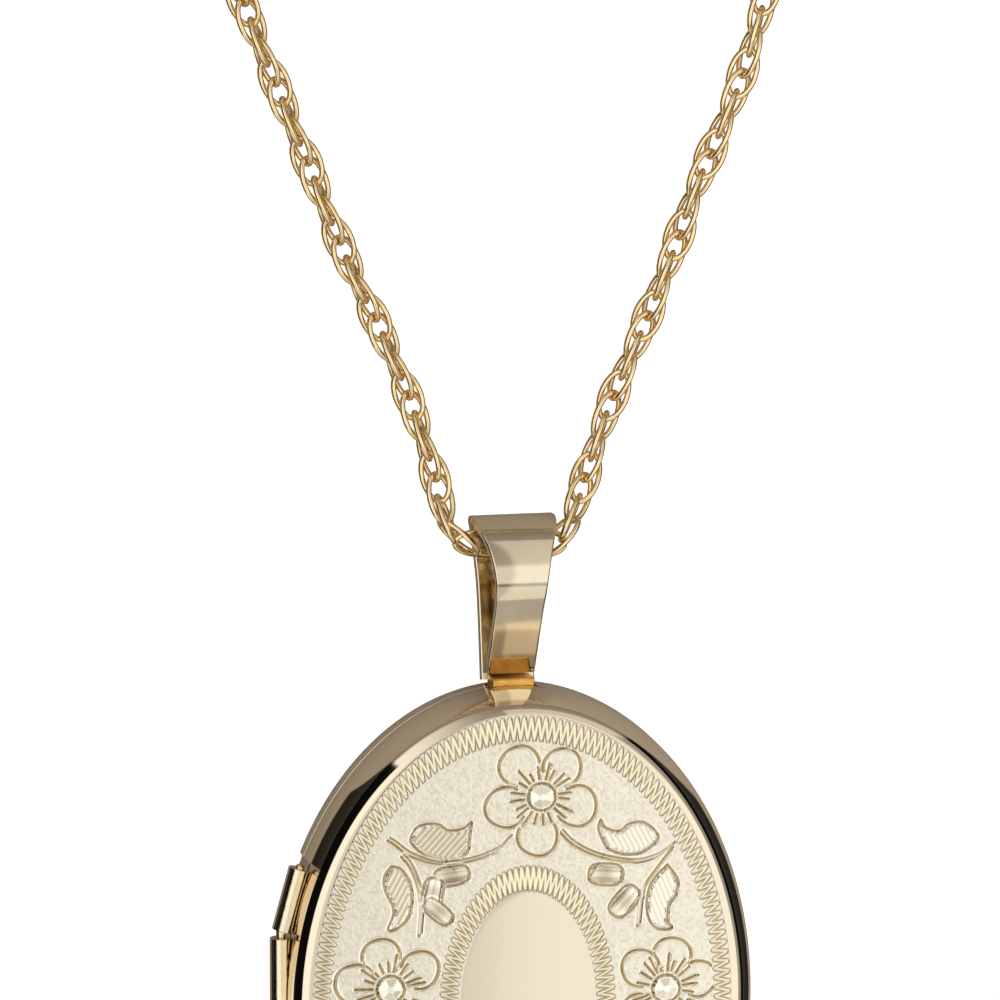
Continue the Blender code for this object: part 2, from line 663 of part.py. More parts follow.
def make_clasp_spring(parts, material):
    """Helix wound along the bore of the clasp ring, drawn at its pressed length."""
    coil_radius = CLASP_TUBE_RADIUS - CLASP_TUBE_WALL - RUN_GAP - SPRING_WIRE_RADIUS
    count = SPRING_TURNS * SPRING_POINTS_PER_TURN
    points = []
    for index in range(count + 1):
        along = SPRING_START + SPRING_SWEEP * index / count
        round_angle = 2 * math.pi * index / SPRING_POINTS_PER_TURN
        outward = Vector((math.cos(along), math.sin(along), 0.0))
        radius = CLASP_RADIUS + coil_radius * math.cos(round_angle)
        lift = Vector((0.0, 0.0, coil_radius * math.sin(round_angle)))
        points.append(CLASP_CENTRE + outward * radius + lift)
    return wire("clasp_spring", points, SPRING_WIRE_RADIUS, parts, material, resolution=1)


def make_clasp(parts, cutters, materials):
    make_clasp_ring(parts, cutters, materials["clasp"])
    tongue = make_clasp_tongue(parts, cutters, materials["clasp"])
    make_clasp_spring(parts, materials["spring"])
    tail_y = CLASP_RADIUS + CLASP_TUBE_RADIUS + SEAT_GAP + EYELET_WIRE_RADIUS + EYELET_RADIUS
    eyelet_centre = CLASP_CENTRE + Vector((0.0, tail_y, 0.0))
    ring("clasp_eyelet", eyelet_centre, EYELET_RADIUS, EYELET_WIRE_RADIUS, parts, materials["clasp"], False)
    jump_centre = eyelet_centre + Vector((0.0, JUMP_RING_RADIUS, 0.0))
    ring("clasp_jump_ring", jump_centre, JUMP_RING_RADIUS, JUMP_RING_WIRE_RADIUS, parts,
         materials["clasp"], True)
    catch_z = CATCH_RING_RADIUS + CATCH_RING_WIRE_RADIUS + COIL_FLOOR_GAP
    catch_y = CLASP_Y + CATCH_RING_PULL - CLASP_RADIUS
    catch_centre = Vector((CLASP_CENTRE.x, catch_y, catch_z))
    ring("catch_ring", catch_centre, CATCH_RING_RADIUS, CATCH_RING_WIRE_RADIUS, parts,
         materials["clasp"], True)
    return tongue


def pivot(name, place, pieces, collection):
    """An empty on a joint's axis that carries the pieces turning about it."""
    empty = bpy.data.objects.new(name, None)
    empty.empty_display_size = 2 * MM
    empty.location = place
    collection.objects.link(empty)
    for piece in pieces:
        piece.parent = empty
        piece.location = piece.location - Vector(place)
    return empty


def make_materials():
    return {
        "case": metal("polished_gold", (0.82, 0.66, 0.38), 0.16),
        "bail": metal("polished_gold_strap", (0.78, 0.63, 0.38), 0.20),
        "hinge": metal("drawn_gold_tube", (0.88, 0.66, 0.36), 0.28),
        "frame": metal("gilt_brass_frame", (0.86, 0.66, 0.34), 0.30),
        "chain": metal("gold_chain_wire", (0.90, 0.64, 0.32), 0.20),
        "clasp": metal("gold_clasp", (0.88, 0.66, 0.35), 0.22),
        "spring": metal("steel_spring", (0.60, 0.60, 0.62), 0.35),
        "paper": metal("paper_blank", (0.93, 0.91, 0.86), 0.85, metallic=0.0),
        "window": metal("clear_window", (0.95, 0.97, 0.98, 0.25), 0.10, metallic=0.0),
    }


def main():
    clear_scene()
    parts = new_collection("locket")
    cutters = new_collection("cutters")
    materials = make_materials()
    shared = make_cutters(cutters)
    half_shell("back_shell", -1, parts, cutters, materials["case"], shared)
    cover = half_shell("front_cover", 1, parts, cutters, materials["case"], shared)
    make_catch_band(parts, materials["case"], shared[2])
    middle = make_hinge(parts, materials["hinge"])
    make_inside(-1, "back", parts, materials)
    cover_inside = make_inside(1, "front", parts, materials)
    make_bail(parts, materials["bail"])
    make_bail_foot(parts, materials["hinge"])
    make_chain(parts, materials["chain"])
    tongue = make_clasp(parts, cutters, materials)
    pivot("cover_hinge_axis", (HINGE_X, 0.0, PARTING_Z), (cover, middle, *cover_inside), parts)
    pivot("clasp_trigger_axis", CLASP_CENTRE, (tongue,), parts)


main()
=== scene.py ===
"""Looks of an oval hinged locket on a rope chain: polished case, engraved front, bail, clasp.

Laid out as a Blender add-on. Metres, +Z up: the locket lies on its back, +Y points to the bail.
"""

import math

import bpy
import numpy as np
from bpy.props import FloatProperty, FloatVectorProperty, IntProperty, PointerProperty
from mathutils import Matrix, Vector


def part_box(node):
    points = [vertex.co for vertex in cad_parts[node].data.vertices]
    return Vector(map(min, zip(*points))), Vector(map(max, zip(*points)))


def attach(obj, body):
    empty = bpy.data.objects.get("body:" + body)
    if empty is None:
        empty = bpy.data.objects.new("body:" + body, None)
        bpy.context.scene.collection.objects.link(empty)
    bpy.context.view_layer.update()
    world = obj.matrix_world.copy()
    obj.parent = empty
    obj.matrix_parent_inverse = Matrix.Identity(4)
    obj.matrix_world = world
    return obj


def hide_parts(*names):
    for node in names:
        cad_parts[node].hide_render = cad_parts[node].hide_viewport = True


bl_info = {
    "name": "Oval Locket",
    "version": (1, 0, 0),
    "blender": (4, 5, 0),
    "location": "View3D > Sidebar > Locket",
    "description": "Builds the finished surfaces of an engraved oval locket and its rope chain",
    "category": "Object",
}

MM = 0.001
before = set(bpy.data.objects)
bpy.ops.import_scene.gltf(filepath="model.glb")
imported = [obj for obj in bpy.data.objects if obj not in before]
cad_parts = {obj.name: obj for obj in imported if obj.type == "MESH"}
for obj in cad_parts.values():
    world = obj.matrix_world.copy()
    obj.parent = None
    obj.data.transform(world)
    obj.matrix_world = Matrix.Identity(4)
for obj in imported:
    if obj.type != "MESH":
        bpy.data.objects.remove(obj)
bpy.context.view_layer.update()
COVER_LOW, COVER_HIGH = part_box("front_cover")
BACK_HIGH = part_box("back_shell")[1]
MIDDLE_LOW, MIDDLE_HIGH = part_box("hinge_knuckle_middle")
BAND_LOW, BAND_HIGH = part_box("catch_band")
FOOT_LOW, FOOT_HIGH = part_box("bail_foot")
COIL_LOW, COIL_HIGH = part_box("chain_coil")
FULL_TURN = 2 * math.pi
HALF_WIDTH = COVER_HIGH.x
HALF_HEIGHT = -COVER_LOW.y
PARTING_Z = (COVER_LOW.z + BACK_HIGH.z) / 2
HALF_DEPTH = COVER_HIGH.z - PARTING_Z
HINGE_X = (MIDDLE_LOW.x + MIDDLE_HIGH.x) / 2
KNUCKLE_RADIUS = (MIDDLE_HIGH.x - MIDDLE_LOW.x) / 2

# Route of the chain's middle line in metres, from the bail outwards, as the frame's tubes follow it.
LEFT_ROUTE = np.array((
    (-0.14, 18.97, 1.56), (-0.95, 18.97, 1.56), (-1.75, 19.08, 1.62), (-2.22, 19.40, 1.52),
    (-2.60, 20.05, 1.34), (-2.87, 21.20, 1.12), (-3.40, 23.10, 0.86), (-4.30, 25.76, 0.72),
    (-5.42, 28.35, 0.71), (-6.60, 30.89, 0.71), (-7.56, 33.25, 0.71), (-8.48, 35.59, 0.71),
    (-9.76, 38.80, 0.71), (-11.05, 42.00, 0.71), (-12.15, 43.80, 0.71), (-12.95, 45.55, 1.00),
)) * MM
RIGHT_ROUTE = np.array((
    (0.14, 18.97, 1.56), (0.95, 18.95, 1.66), (1.74, 18.99, 1.86), (2.24, 19.40, 1.84),
    (2.68, 20.14, 1.60), (3.12, 21.05, 1.30), (3.75, 22.70, 0.92), (4.62, 24.90, 0.72),
    (5.40, 26.65, 0.71), (6.12, 28.33, 0.71), (7.07, 30.70, 0.71), (7.91, 33.03, 0.71),
    (8.82, 35.20, 0.71), (9.70, 37.30, 0.71), (10.47, 39.60, 0.71), (11.07, 42.00, 0.71),
    (11.58, 45.00, 0.71), (11.76, 48.00, 0.71), (11.62, 49.70, 0.71),
)) * MM
TAIL_ROUTE = np.array((
    (-9.75, 60.95, 1.75), (-10.95, 59.70, 1.30), (-12.10, 58.10, 0.90), (-12.80, 56.60, 0.80),
    (-13.00, 55.14, 1.00),
)) * MM


def length_property(title, text, millimetres):
    return FloatProperty(name=title, description=text, default=millimetres * MM, unit="LENGTH",
                         precision=5)


def angle_property(title, text, degrees):
    return FloatProperty(name=title, description=text, default=math.radians(degrees), subtype="ANGLE")


def count_property(title, text, value):
    return IntProperty(name=title, description=text, default=value, min=1)


def linear(hex_colour):
    """sRGB hex to linear light: each channel over 12.92, or its 2.4th power above the toe."""
    channels = [int(hex_colour[place:place + 2], 16) / 255 for place in (1, 3, 5)]
    return [c / 12.92 if c <= 0.04045 else ((c + 0.055) / 1.055) ** 2.4 for c in channels]


def colour_property(title, text, hex_colour):
    return FloatVectorProperty(name=title, description=text, default=linear(hex_colour), size=3,
                               subtype="COLOR", min=0.0, max=1.0)


class LocketStageSettings(bpy.types.PropertyGroup):
    """Camera, floor and light."""
    tilt_left: angle_property("Tilt to the left", "Lean of the camera towards the hinge side", 11.4)
    tilt_bail: angle_property("Tilt to the bail", "Lean of the camera towards the bail", 11.4)
    distance: length_property("Camera distance", "From the lens to the middle of the view", 620.0)
    view_width: length_property("View width", "Width of what the camera takes in", 41.25)
    centre_x: length_property("View centre X", "Middle of the view, sideways", -0.51)
    centre_y: length_property("View centre Y", "Middle of the view, towards the chain", 20.91)
    floor_size: length_property("Floor size", "Side of the pale floor", 3000.0)
    floor_colour: colour_property("Floor colour", "Paper sweep, as the metal mirrors it", "#B9B0A6")
    card_start: FloatProperty(name="Card start", description="Where the cards begin, in case widths",
                              default=1.36)
    softbox_height: length_property("Softbox height", "Height of the softbox over the floor", 60.0)
    softbox_edge: length_property("Softbox edge", "Where the softbox begins, sideways", 8.0)
    softbox_width: length_property("Softbox width", "Width of the softbox", 190.0)
    softbox_length: length_property("Softbox length", "Length of the softbox", 300.0)
    softbox_power: FloatProperty(name="Softbox power", description="Power of the softbox", default=0.062,
                                 unit="POWER", precision=4)


class LocketCaseSizes(bpy.types.PropertyGroup):
    """Both halves of the case."""
    rim_inset: length_property("Rim width", "How far the rounded rim reaches in over the face", 1.10)
    rim_top_turn: angle_property("Rim top turn", "How far the rim has turned where it meets the face",
                                 72.0)
    rim_top_inset: length_property("Rim top width", "The same, at the top and bottom", 0.82)
    rim_upright: length_property("Rim upright", "Straight part of the rim at the parting line", 0.35)
    rim_edge: length_property("Edge break", "Rounding of the edge at the parting line", 0.05)
    shell_wall: length_property("Side wall", "Thickness of the case at its side", 0.40)
    face_wall: length_property("Face wall", "Thickness of the case at its face", 0.40)
    floor_inset: length_property("Floor inset", "Where the rounded inner corner meets the floor", 1.30)
    recess_inset: length_property("Hinge recess", "Depth of the flat cut behind the knuckles", 0.42)
    recess_room: length_property("Recess end room", "Recess past the end of the knuckles", 0.50)
    seat_wall: length_property("Hinge seat wall", "Metal left behind the knuckles' trough", 0.26)
    knuckle_gap: length_property("Knuckle clearance", "Gap between knuckle and trough", 0.05)
    band_gap: length_property("Band gap", "Gap between the catch band and the wall", 0.03)
    band_wall: length_property("Band wall", "Thickness of the catch band", 0.22)
    notch_room: length_property("Notch room", "Space beside the bail's foot", 0.12)
    pocket: length_property("Engraving depth", "How deep the engraved plate is let into the face", 0.16)


class LocketHingeSizes(bpy.types.PropertyGroup):
    """Knuckles and pin."""
    pin_radius: length_property("Pin radius", "Radius of the hinge wire", 0.20)
    end_length: length_property("End knuckle length", "Length of the upper and lower knuckles", 2.72)
    end_gap: length_property("Knuckle spacing", "Space between two knuckles", 0.27)
    edge: length_property("Edge break", "Rounding of a knuckle's ends", 0.04)


class LocketEngravingSizes(bpy.types.PropertyGroup):
    """Border, flowers and centre of the engraved front."""
    border_inset: length_property("Border start", "Inset of the border's outer edge, at the sides", 1.16)
    border_top_inset: length_property("Border top start", "The same, at the top and bottom", 0.87)
    border_width: length_property("Border width", "Width of the zigzag border, at the sides", 0.76)
    border_top_width: length_property("Border top width", "The same, at the top and bottom", 1.16)
    border_loops: count_property("Border loops", "Zigzag loops round the face", 179)
    centre_x: length_property("Centre offset", "Sideways place of the plain oval", 0.22)
    centre_half_width: length_property("Centre half width", "Half width of the plain oval", 2.91)
    centre_half_height: length_property("Centre half height", "Half height of the plain oval", 4.79)
    ring_width: length_property("Ring width", "Width of the zigzag round the plain oval, at its side", 0.83)
    ring_top_width: length_property("Ring top width", "The same, at its top and bottom", 1.17)
    ring_loops: count_property("Ring loops", "Zigzag loops round the plain oval", 90)
    cut_depth: length_property("Cut depth", "Depth of the graver's lines", 0.075)
    cut_width: length_property("Cut half width", "Half width of the graver's lines", 0.072)
    grain: length_property("Satin grain", "Spacing of the sandblasted grain", 0.11)
    grain_depth: length_property("Grain depth", "Height of the sandblasted grain", 0.0065)
    plate: length_property("Plate thickness", "Thickness of the engraved layer", 0.13)


class LocketInsideSizes(bpy.types.PropertyGroup):
    """Frames, windows and paper blanks."""
    frame_width: length_property("Frame width", "Width of the snap-in frame", 0.95)
    frame_lip: length_property("Frame lip", "How far the frame covers the window", 0.45)
    frame_depth: length_property("Frame depth", "Height of the frame", 0.85)
    sheet_depth: length_property("Sheet thickness", "Thickness of the window and of the blank", 0.20)
    gap: length_property("Seat gap", "Gap between pressed pieces", 0.03)


class LocketBailSizes(bpy.types.PropertyGroup):
    """Folded strap and its foot."""
    top_width: length_property("Top width", "Width over the chain", 3.57)
    front_waist: length_property("Front waist", "Width of the front leg", 2.06)
    back_waist: length_property("Back waist", "Width of the back leg", 2.28)
    flare: length_property("Flare length", "How fast the strap widens towards its top", 2.30)
    thickness: length_property("Thickness", "Thickness of the strap", 0.32)
    loop_radius: length_property("Loop radius", "Radius of the fold at mid thickness", 1.98)
    loop_height: length_property("Loop height", "Fold's centre above the top of the case", 4.99)
    loop_forward: length_property("Loop forward", "Fold's centre in front of the parting line", 0.08)
    front_backset: length_property("Front leg end", "End of the front leg behind the parting line", 0.42)
    back_backset: length_property("Back leg end", "End of the back leg behind the parting line", 1.02)
    end_height: length_property("Front leg height", "End of the front leg above the case's top", 0.47)


class LocketChainSizes(bpy.types.PropertyGroup):
    """Links of the rope chain and its coil."""
    link_length: length_property("Link length", "Outside length of one oval link", 2.30)
    link_width: length_property("Link width", "Outside width of one oval link", 1.31)
    wire: length_property("Wire", "Thickness of the wire", 0.24)
    pitch: length_property("Pitch", "From one link to the next along the chain", 0.90)
    roll: angle_property("Roll", "Turn from one link to the next", 45.0)
    first_roll: angle_property("First roll", "Turn of the first link", 20.0)
    coil_pitch: length_property("Coil pitch", "From one turn of the coil to the next", 1.42)
    inner_turn: length_property("Inner turn", "Radius of the innermost turn", 6.00)
    turns: count_property("Turns", "Turns side by side", 4)
    rope: length_property("Rope diameter", "Overall diameter of the chain", 1.36)


class LocketClaspSizes(bpy.types.PropertyGroup):
    """Spring ring clasp and its rings."""
    ring_radius: length_property("Ring radius", "Middle radius of the spring ring", 2.25)
    tube_radius: length_property("Tube radius", "Outside radius of its tube", 0.55)
    tube_wall: length_property("Tube wall", "Wall of its tube", 0.19)
    tongue_radius: length_property("Tongue radius", "Radius of the sliding rod", 0.31)
    mouth_start: angle_property("Mouth start", "Where the mouth begins", 282.0)
    mouth_sweep: angle_property("Mouth sweep", "How wide the mouth is", 48.0)
    tongue_start: angle_property("Tongue start", "Where the rod begins", 279.0)
    tongue_sweep: angle_property("Tongue sweep", "How far the rod reaches", 80.0)
    trigger: angle_property("Trigger", "Where the trigger stands", 348.0)
    travel: angle_property("Trigger travel", "How far the trigger slides", 50.0)
    stem_radius: length_property("Stem radius", "Radius of the trigger's stem", 0.16)
    ball_radius: length_property("Ball radius", "Radius of the trigger's ball", 0.27)
    reach: length_property("Stem reach", "Stem's length from the ring's middle line", 0.90)
    spring_start: angle_property("Spring start", "Where the spring begins", 60.0)
    spring_sweep: angle_property("Spring sweep", "How far the spring reaches, pressed", 30.0)
    spring_turns: count_property("Spring turns", "Turns of the spring", 7)
    spring_wire: length_property("Spring wire", "Radius of the spring's wire", 0.05)


class LocketFinishes(bpy.types.PropertyGroup):
    """Colours of the metals, the paper and the window, and the painted shade and highlight of the engraved cuts.
    """
    case_gold: colour_property("Case gold", "Pale yellow gold of the case", "#EFE2CA")
    satin_gold: colour_property("Satin gold", "Sandblasted gold of the engraved ground", "#EFE8D4")
    # Painted shade: the dark colour laid in the bottom of the cuts, where shade falls.
    groove_painted_shade_gold: colour_property("Groove gold", "Dulled gold in the bottom of the cuts", "#B8A078")
    # Painted highlight: the light colour laid on the lips of the cuts.
    ridge_painted_highlight_gold: colour_property("Ridge gold", "Bright gold on the lips of the cuts", "#FFFCEC")
    centre_gold: colour_property("Centre gold", "Burnished gold of the plain oval", "#E6DCC4")
    strap_gold: colour_property("Bail gold", "Gold of the folded strap", "#EADFC6")
    hinge_gold: colour_property("Hinge gold", "Warmer gold of the hinge tube", "#F5E9CE")
    foot_gold: colour_property("Foot gold", "Soldered gold under the bail", "#E8B868")
    chain_gold: colour_property("Chain gold", "Deep yellow gold of the chain wire", "#FBE3B2")
    frame_gilt: colour_property("Frame gilt", "Gilt brass of the snap-in frames", "#EBC87A")
    paper: colour_property("Paper", "Off-white card of the photo blanks", "#FBF7EE")
    steel: colour_property("Steel", "Spring steel wire", "#B9BBBE")


def closed_grid(grid, wrap_rows=False):
    """Faces over a grid of rows whose columns close on themselves.

    Neighbouring rows are joined by quads. Rows either close on themselves too, as on a ring,
    or the first and the last are each closed by a fan to their own middle point.
    """
    rows, columns = grid.shape[:2]
    points = grid.reshape(-1, 3)
    first = np.arange(rows if wrap_rows else rows - 1)[:, None] * columns
    after = (first + columns) % (rows * columns)
    here = np.arange(columns)[None, :]
    beside = (here + 1) % columns
    quads = np.stack((first + here, first + beside, after + beside, after + here), -1).reshape(-1, 4)
    if wrap_rows:
        return points, [quads]
    last = (rows - 1) * columns
    middle = len(points)
    points = np.vstack((points, grid[0].mean(0), grid[-1].mean(0)))
    near = np.stack((here[0], np.full(columns, middle), beside[0]), -1)
    far = np.stack((last + here[0], last + beside[0], np.full(columns, middle + 1)), -1)
    return points, [quads, near, far]


def outward(points, faces):
    """The same faces, all turned round if the body they close has a negative volume.

    The volume is a sixth of the sum, over all triangles, of a corner's product with the others'.
    """
    volume = 0.0
    for group in faces:
        corners = points[group]
        for place in range(1, group.shape[1] - 1):
            crossed = np.cross(corners[:, place], corners[:, place + 1])
            volume += (corners[:, 0] * crossed).sum()
    return faces if volume > 0 else [group[:, ::-1] for group in faces]


def solid(name, bodies, material, sharp_degrees=38.0, attributes=None):
    """One mesh object from a list of (points, faces) bodies, smooth but for its sharp edges."""
    points = np.vstack([body[0] for body in bodies])
    starts = np.cumsum([0] + [len(body[0]) for body in bodies])
    groups = [group + start for (places, faces), start in zip(bodies, starts)
              for group in outward(places, faces)]
    corners = np.concatenate([group.ravel() for group in groups])
    sizes = np.concatenate([np.full(len(group), group.shape[1]) for group in groups])
    mesh = bpy.data.meshes.new(name)
    mesh.vertices.add(len(points))
    mesh.vertices.foreach_set("co", points.astype(np.float32).ravel())
    mesh.loops.add(len(corners))
    mesh.loops.foreach_set("vertex_index", corners.astype(np.int32))
    mesh.polygons.add(len(sizes))
    mesh.polygons.foreach_set("loop_start", (np.cumsum(sizes) - sizes).astype(np.int32))
    mesh.update(calc_edges=True)
    mesh.shade_smooth()
    mesh.set_sharp_from_angle(angle=math.radians(sharp_degrees))
    for label, values in (attributes or {}).items():
        layer = mesh.attributes.new(label, "FLOAT", "POINT")
        layer.data.foreach_set("value", values.astype(np.float32))
    mesh.materials.append(material)
    piece = bpy.data.objects.new(name, mesh)
    bpy.context.scene.collection.objects.link(piece)
    return piece


def place(piece, body, slot, *nodes):
    """Puts the piece under its body's empty and hides the frame nodes that it stands for. The slot is not used.
    """
    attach(piece, body)
    if nodes:
        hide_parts(*nodes)
    return piece


def smooth_curve(points, spacing):
    """Catmull-Rom curve through the points, read off at even steps of its own length."""
    ends = np.vstack((2 * points[0] - points[1], points, 2 * points[-1] - points[-2]))
    a, b, c, d = (ends[shift:len(ends) - 3 + shift, None, :] for shift in range(4))
    t = (np.arange(24) / 24)[None, :, None]
    fine = 0.5 * (2 * b + (c - a) * t + (2 * a - 5 * b + 4 * c - d) * t ** 2
                  + (3 * b - a - 3 * c + d) * t ** 3)
    fine = np.vstack((fine.reshape(-1, points.shape[1]), points[-1]))
    travelled = run_lengths(fine)
    wanted = np.linspace(0.0, travelled[-1], max(2, round(travelled[-1] / spacing)) + 1)
    return np.stack([np.interp(wanted, travelled, fine[:, axis]) for axis in range(points.shape[1])], -1)


def run_lengths(points):
    """Length travelled along a row of points, up to each of them."""
    steps = np.linalg.norm(np.diff(points, axis=0), axis=1)
    return np.concatenate(([0.0], np.cumsum(steps)))


def unit(vectors):
    return vectors / np.maximum(np.linalg.norm(vectors, axis=-1, keepdims=True), 1e-12)


def directions(path, closed=False):
    """Unit direction of the path at each point, from its two neighbours."""
    if closed:
        return unit(np.roll(path, -1, 0) - np.roll(path, 1, 0))
    return unit(np.gradient(path, axis=0))


def carried(path, along, across, section):
    """A section of (side, lift) pairs set square to the path at each of its points.

    side is measured along the given cross direction, lift along path direction x cross direction.
    """
    lift = np.cross(along, across)
    return (path[:, None, :] + section[..., 0:1] * across[:, None, :]
            + section[..., 1:2] * lift[:, None, :])


def circle(count, radius=1.0, start=0.0):
    """Points of a circle, as (cosine, sine) pairs times its radius."""
    angles = start + np.arange(count) * FULL_TURN / count
    return np.stack((np.cos(angles), np.sin(angles)), -1) * radius


def round_tube(path, radius, sides, reference, closed=False, cap_steps=5):
    """A round wire along a path; an open one ends in domes.

    The section is square to the path, and its first side lies in the plane of path and reference.
    """
    along = directions(path, closed)
    across = unit(np.cross(along, np.broadcast_to(np.asarray(reference, float), path.shape)))
    if closed:
        return closed_grid(carried(path, along, across, circle(sides, radius)[None]), True)
    bend = np.linspace(0.0, math.pi / 2, cap_steps + 1)[1:-1]
    near = path[0] - along[0] * radius * np.sin(bend)[::-1, None]
    far = path[-1] + along[-1] * radius * np.sin(bend)[:, None]
    spine = np.vstack((near, path, far))
    shrink = np.concatenate((np.cos(bend)[::-1], np.ones(len(path)), np.cos(bend)))
    along = np.vstack((np.repeat(along[:1], len(bend), 0), along, np.repeat(along[-1:], len(bend), 0)))
    across = np.vstack((np.repeat(across[:1], len(bend), 0), across, np.repeat(across[-1:], len(bend), 0)))
    section = circle(sides, radius)[None] * shrink[:, None, None]
    return closed_grid(carried(spine, along, across, section))


def lathe(profile, start, axis, columns=64, wrap_rows=False):
    """A profile of (radius, distance along the axis) rows, turned about an axis through start."""
    axis = unit(np.asarray(axis, float))
    side = unit(np.cross(axis, (0.0, 0.0, 1.0) if abs(axis[2]) < 0.9 else (1.0, 0.0, 0.0)))
    up = np.cross(axis, side)
    around = circle(columns)
    spoke = around[:, 0:1] * side + around[:, 1:2] * up
    grid = (np.asarray(start)[None, None] + profile[:, 0, None, None] * spoke[None]
            + profile[:, 1, None, None] * axis)
    return closed_grid(grid, wrap_rows)


def rounded_box(low, high, edge, steps=14):
    """A block with round edges: a ball's directions pushed out to eight shifted corners.

    Each point is the centre of its nearest corner ball plus the edge radius times its direction.
    """
    low, high = np.asarray(low, float), np.asarray(high, float)
    turn = np.linspace(0, FULL_TURN, 4 * steps, endpoint=False)
    rise = np.linspace(-math.pi / 2, math.pi / 2, 2 * steps + 2)[1:-1]
    facing = np.stack((np.cos(rise)[:, None] * np.cos(turn + math.pi / 4 / steps)[None],
                       np.cos(rise)[:, None] * np.sin(turn + math.pi / 4 / steps)[None],
                       np.broadcast_to(np.sin(rise)[:, None], (len(rise), len(turn)))), -1)
    middle, reach = (low + high) / 2, (high - low) / 2 - edge
    return closed_grid(middle + np.sign(facing) * reach + facing * edge)


def add_node(tree, kind, values=None, links=None, **settings):
    """Adds one node with its own settings, its socket values and the sockets linked into it."""
    node = tree.nodes.new(kind)
    for key, value in settings.items():
        setattr(node, key, value)
    for key, value in (values or {}).items():
        node.inputs[key].default_value = value
    for key, socket in (links or {}).items():
        tree.links.new(socket, node.inputs[key])
    return node


def new_material(name):
    """An empty material with its tree and its Principled BSDF."""
    material = bpy.data.materials.new(name)
    material.use_nodes = True
    return material, material.node_tree, material.node_tree.nodes["Principled BSDF"]


def gold_metal(name, colour, roughness, tone=0.05, tone_size=3.0, grain=0.03, grain_depth=0.0006,
               grain_stretch=(1.0, 1.0, 1.0), rough_spread=0.05):
    """Gold alloy: metallic, tinted a little by wear, with a fine mark from how it was finished.

    tone_size and grain are in millimetres: the size of the clouds of colour, and the spacing of
    the polishing or drawing marks. grain_stretch draws the marks out along one direction.
    """
    material, tree, shader = new_material(name)
    shader.inputs["Metallic"].default_value = 1.0
    object_place = add_node(tree, "ShaderNodeTexCoord").outputs["Object"]
    clouds = add_node(tree, "ShaderNodeTexNoise", {"Scale": 1 / (tone_size * MM), "Detail": 3.0},
                      {"Vector": object_place})
    darker = [channel * (1 - tone) for channel in colour]
    worn = [channel * (1 - tone * strength) for channel, strength in zip(colour, (0.2, 0.9, 1.9))]
    ramp = add_node(tree, "ShaderNodeValToRGB", links={"Fac": clouds.outputs["Fac"]})
    ramp.color_ramp.elements[0].position, ramp.color_ramp.elements[1].position = 0.35, 0.70
    ramp.color_ramp.elements[0].color = (*darker, 1.0)
    ramp.color_ramp.elements[1].color = (*colour, 1.0)
    middle = ramp.color_ramp.elements.new(0.5)
    middle.color = (*worn, 1.0)
    tree.links.new(ramp.outputs["Color"], shader.inputs["Base Color"])
    stretched = add_node(tree, "ShaderNodeMapping", {"Scale": grain_stretch}, {"Vector": object_place})
    marks = add_node(tree, "ShaderNodeTexNoise", {"Scale": 1 / (grain * MM), "Detail": 4.0,
                                                  "Roughness": 0.6}, {"Vector": stretched.outputs["Vector"]})
    spread = add_node(tree, "ShaderNodeMapRange", {"To Min": roughness - rough_spread / 2,
                                                   "To Max": roughness + rough_spread / 2},
                      {"Value": marks.outputs["Fac"]})
    tree.links.new(spread.outputs["Result"], shader.inputs["Roughness"])
    bump = add_node(tree, "ShaderNodeBump", {"Strength": 1.0, "Distance": grain_depth * MM},
                    {"Height": marks.outputs["Fac"]})
    tree.links.new(bump.outputs["Normal"], shader.inputs["Normal"])
    return material


def scale_by(tree, socket, factors):
    """The socket's vector with each part times its own factor."""
    node = add_node(tree, "ShaderNodeVectorMath", {1: factors}, {0: socket}, operation="MULTIPLY")
    return node.outputs["Vector"]


def facing(tree, level_way, degrees, spread, blur):
    """One within spread of a compass bearing, nought outside it, with a soft edge blur wide."""
    angle = math.radians(degrees)
    bearing = add_node(tree, "ShaderNodeVectorMath", links={0: level_way}, operation="NORMALIZE")
    dot = add_node(tree, "ShaderNodeVectorMath", {1: (math.cos(angle), math.sin(angle), 0.0)},
                   {0: bearing.outputs["Vector"]}, operation="DOT_PRODUCT")
    return add_node(tree, "ShaderNodeMapRange",
                    {"From Min": math.cos(math.radians(spread + blur / 2)),
                     "From Max": math.cos(math.radians(spread - blur / 2))},
                    {"Value": dot.outputs["Value"]}, interpolation_type="SMOOTHSTEP")


def both(tree, first, second):
    return add_node(tree, "ShaderNodeMath", links={0: first.outputs[0], 1: second.outputs[0]},
                    operation="MULTIPLY")


def over(tree, base, colour, mask):
    """Lays a colour over the base, which is a socket or a colour, where the mask is one."""
    mix = add_node(tree, "ShaderNodeMix", links={"Factor": mask.outputs[0]}, data_type="RGBA")
    if isinstance(base, bpy.types.NodeSocket):
        tree.links.new(base, mix.inputs["A"])
    else:
        mix.inputs["A"].default_value = (*base, 1.0)
    mix.inputs["B"].default_value = (*colour, 1.0)
    return mix.outputs["Result"]


# Brightness of the studio from the locket's foot to its head, by the direction's Y.
STUDIO_BANDS = ((-1.00, (0.50, 0.48, 0.45)), (-0.62, (0.66, 0.63, 0.58)), (-0.57, (0.22, 0.20, 0.18)),
                (-0.51, (0.24, 0.22, 0.20)), (-0.47, (0.86, 0.85, 0.84)), (-0.12, (0.80, 0.80, 0.80)),
                (0.08, (0.84, 0.83, 0.82)), (0.24, (0.46, 0.42, 0.38)), (0.80, (0.38, 0.34, 0.31)),
                (1.00, (0.30, 0.26, 0.23)))
# Each black card's compass bearing, half spread and edge blur, then its top's elevation and blur.
CARD_LEFT, CARD_LEFT_TOP = (180.0, 47.0, 1.5), (38.0, 4.0)
CARD_RIGHT, CARD_RIGHT_TOP = (-12.0, 50.0, 4.0), (34.0, 5.0)
BLACK_CARD = (0.004, 0.004, 0.004)
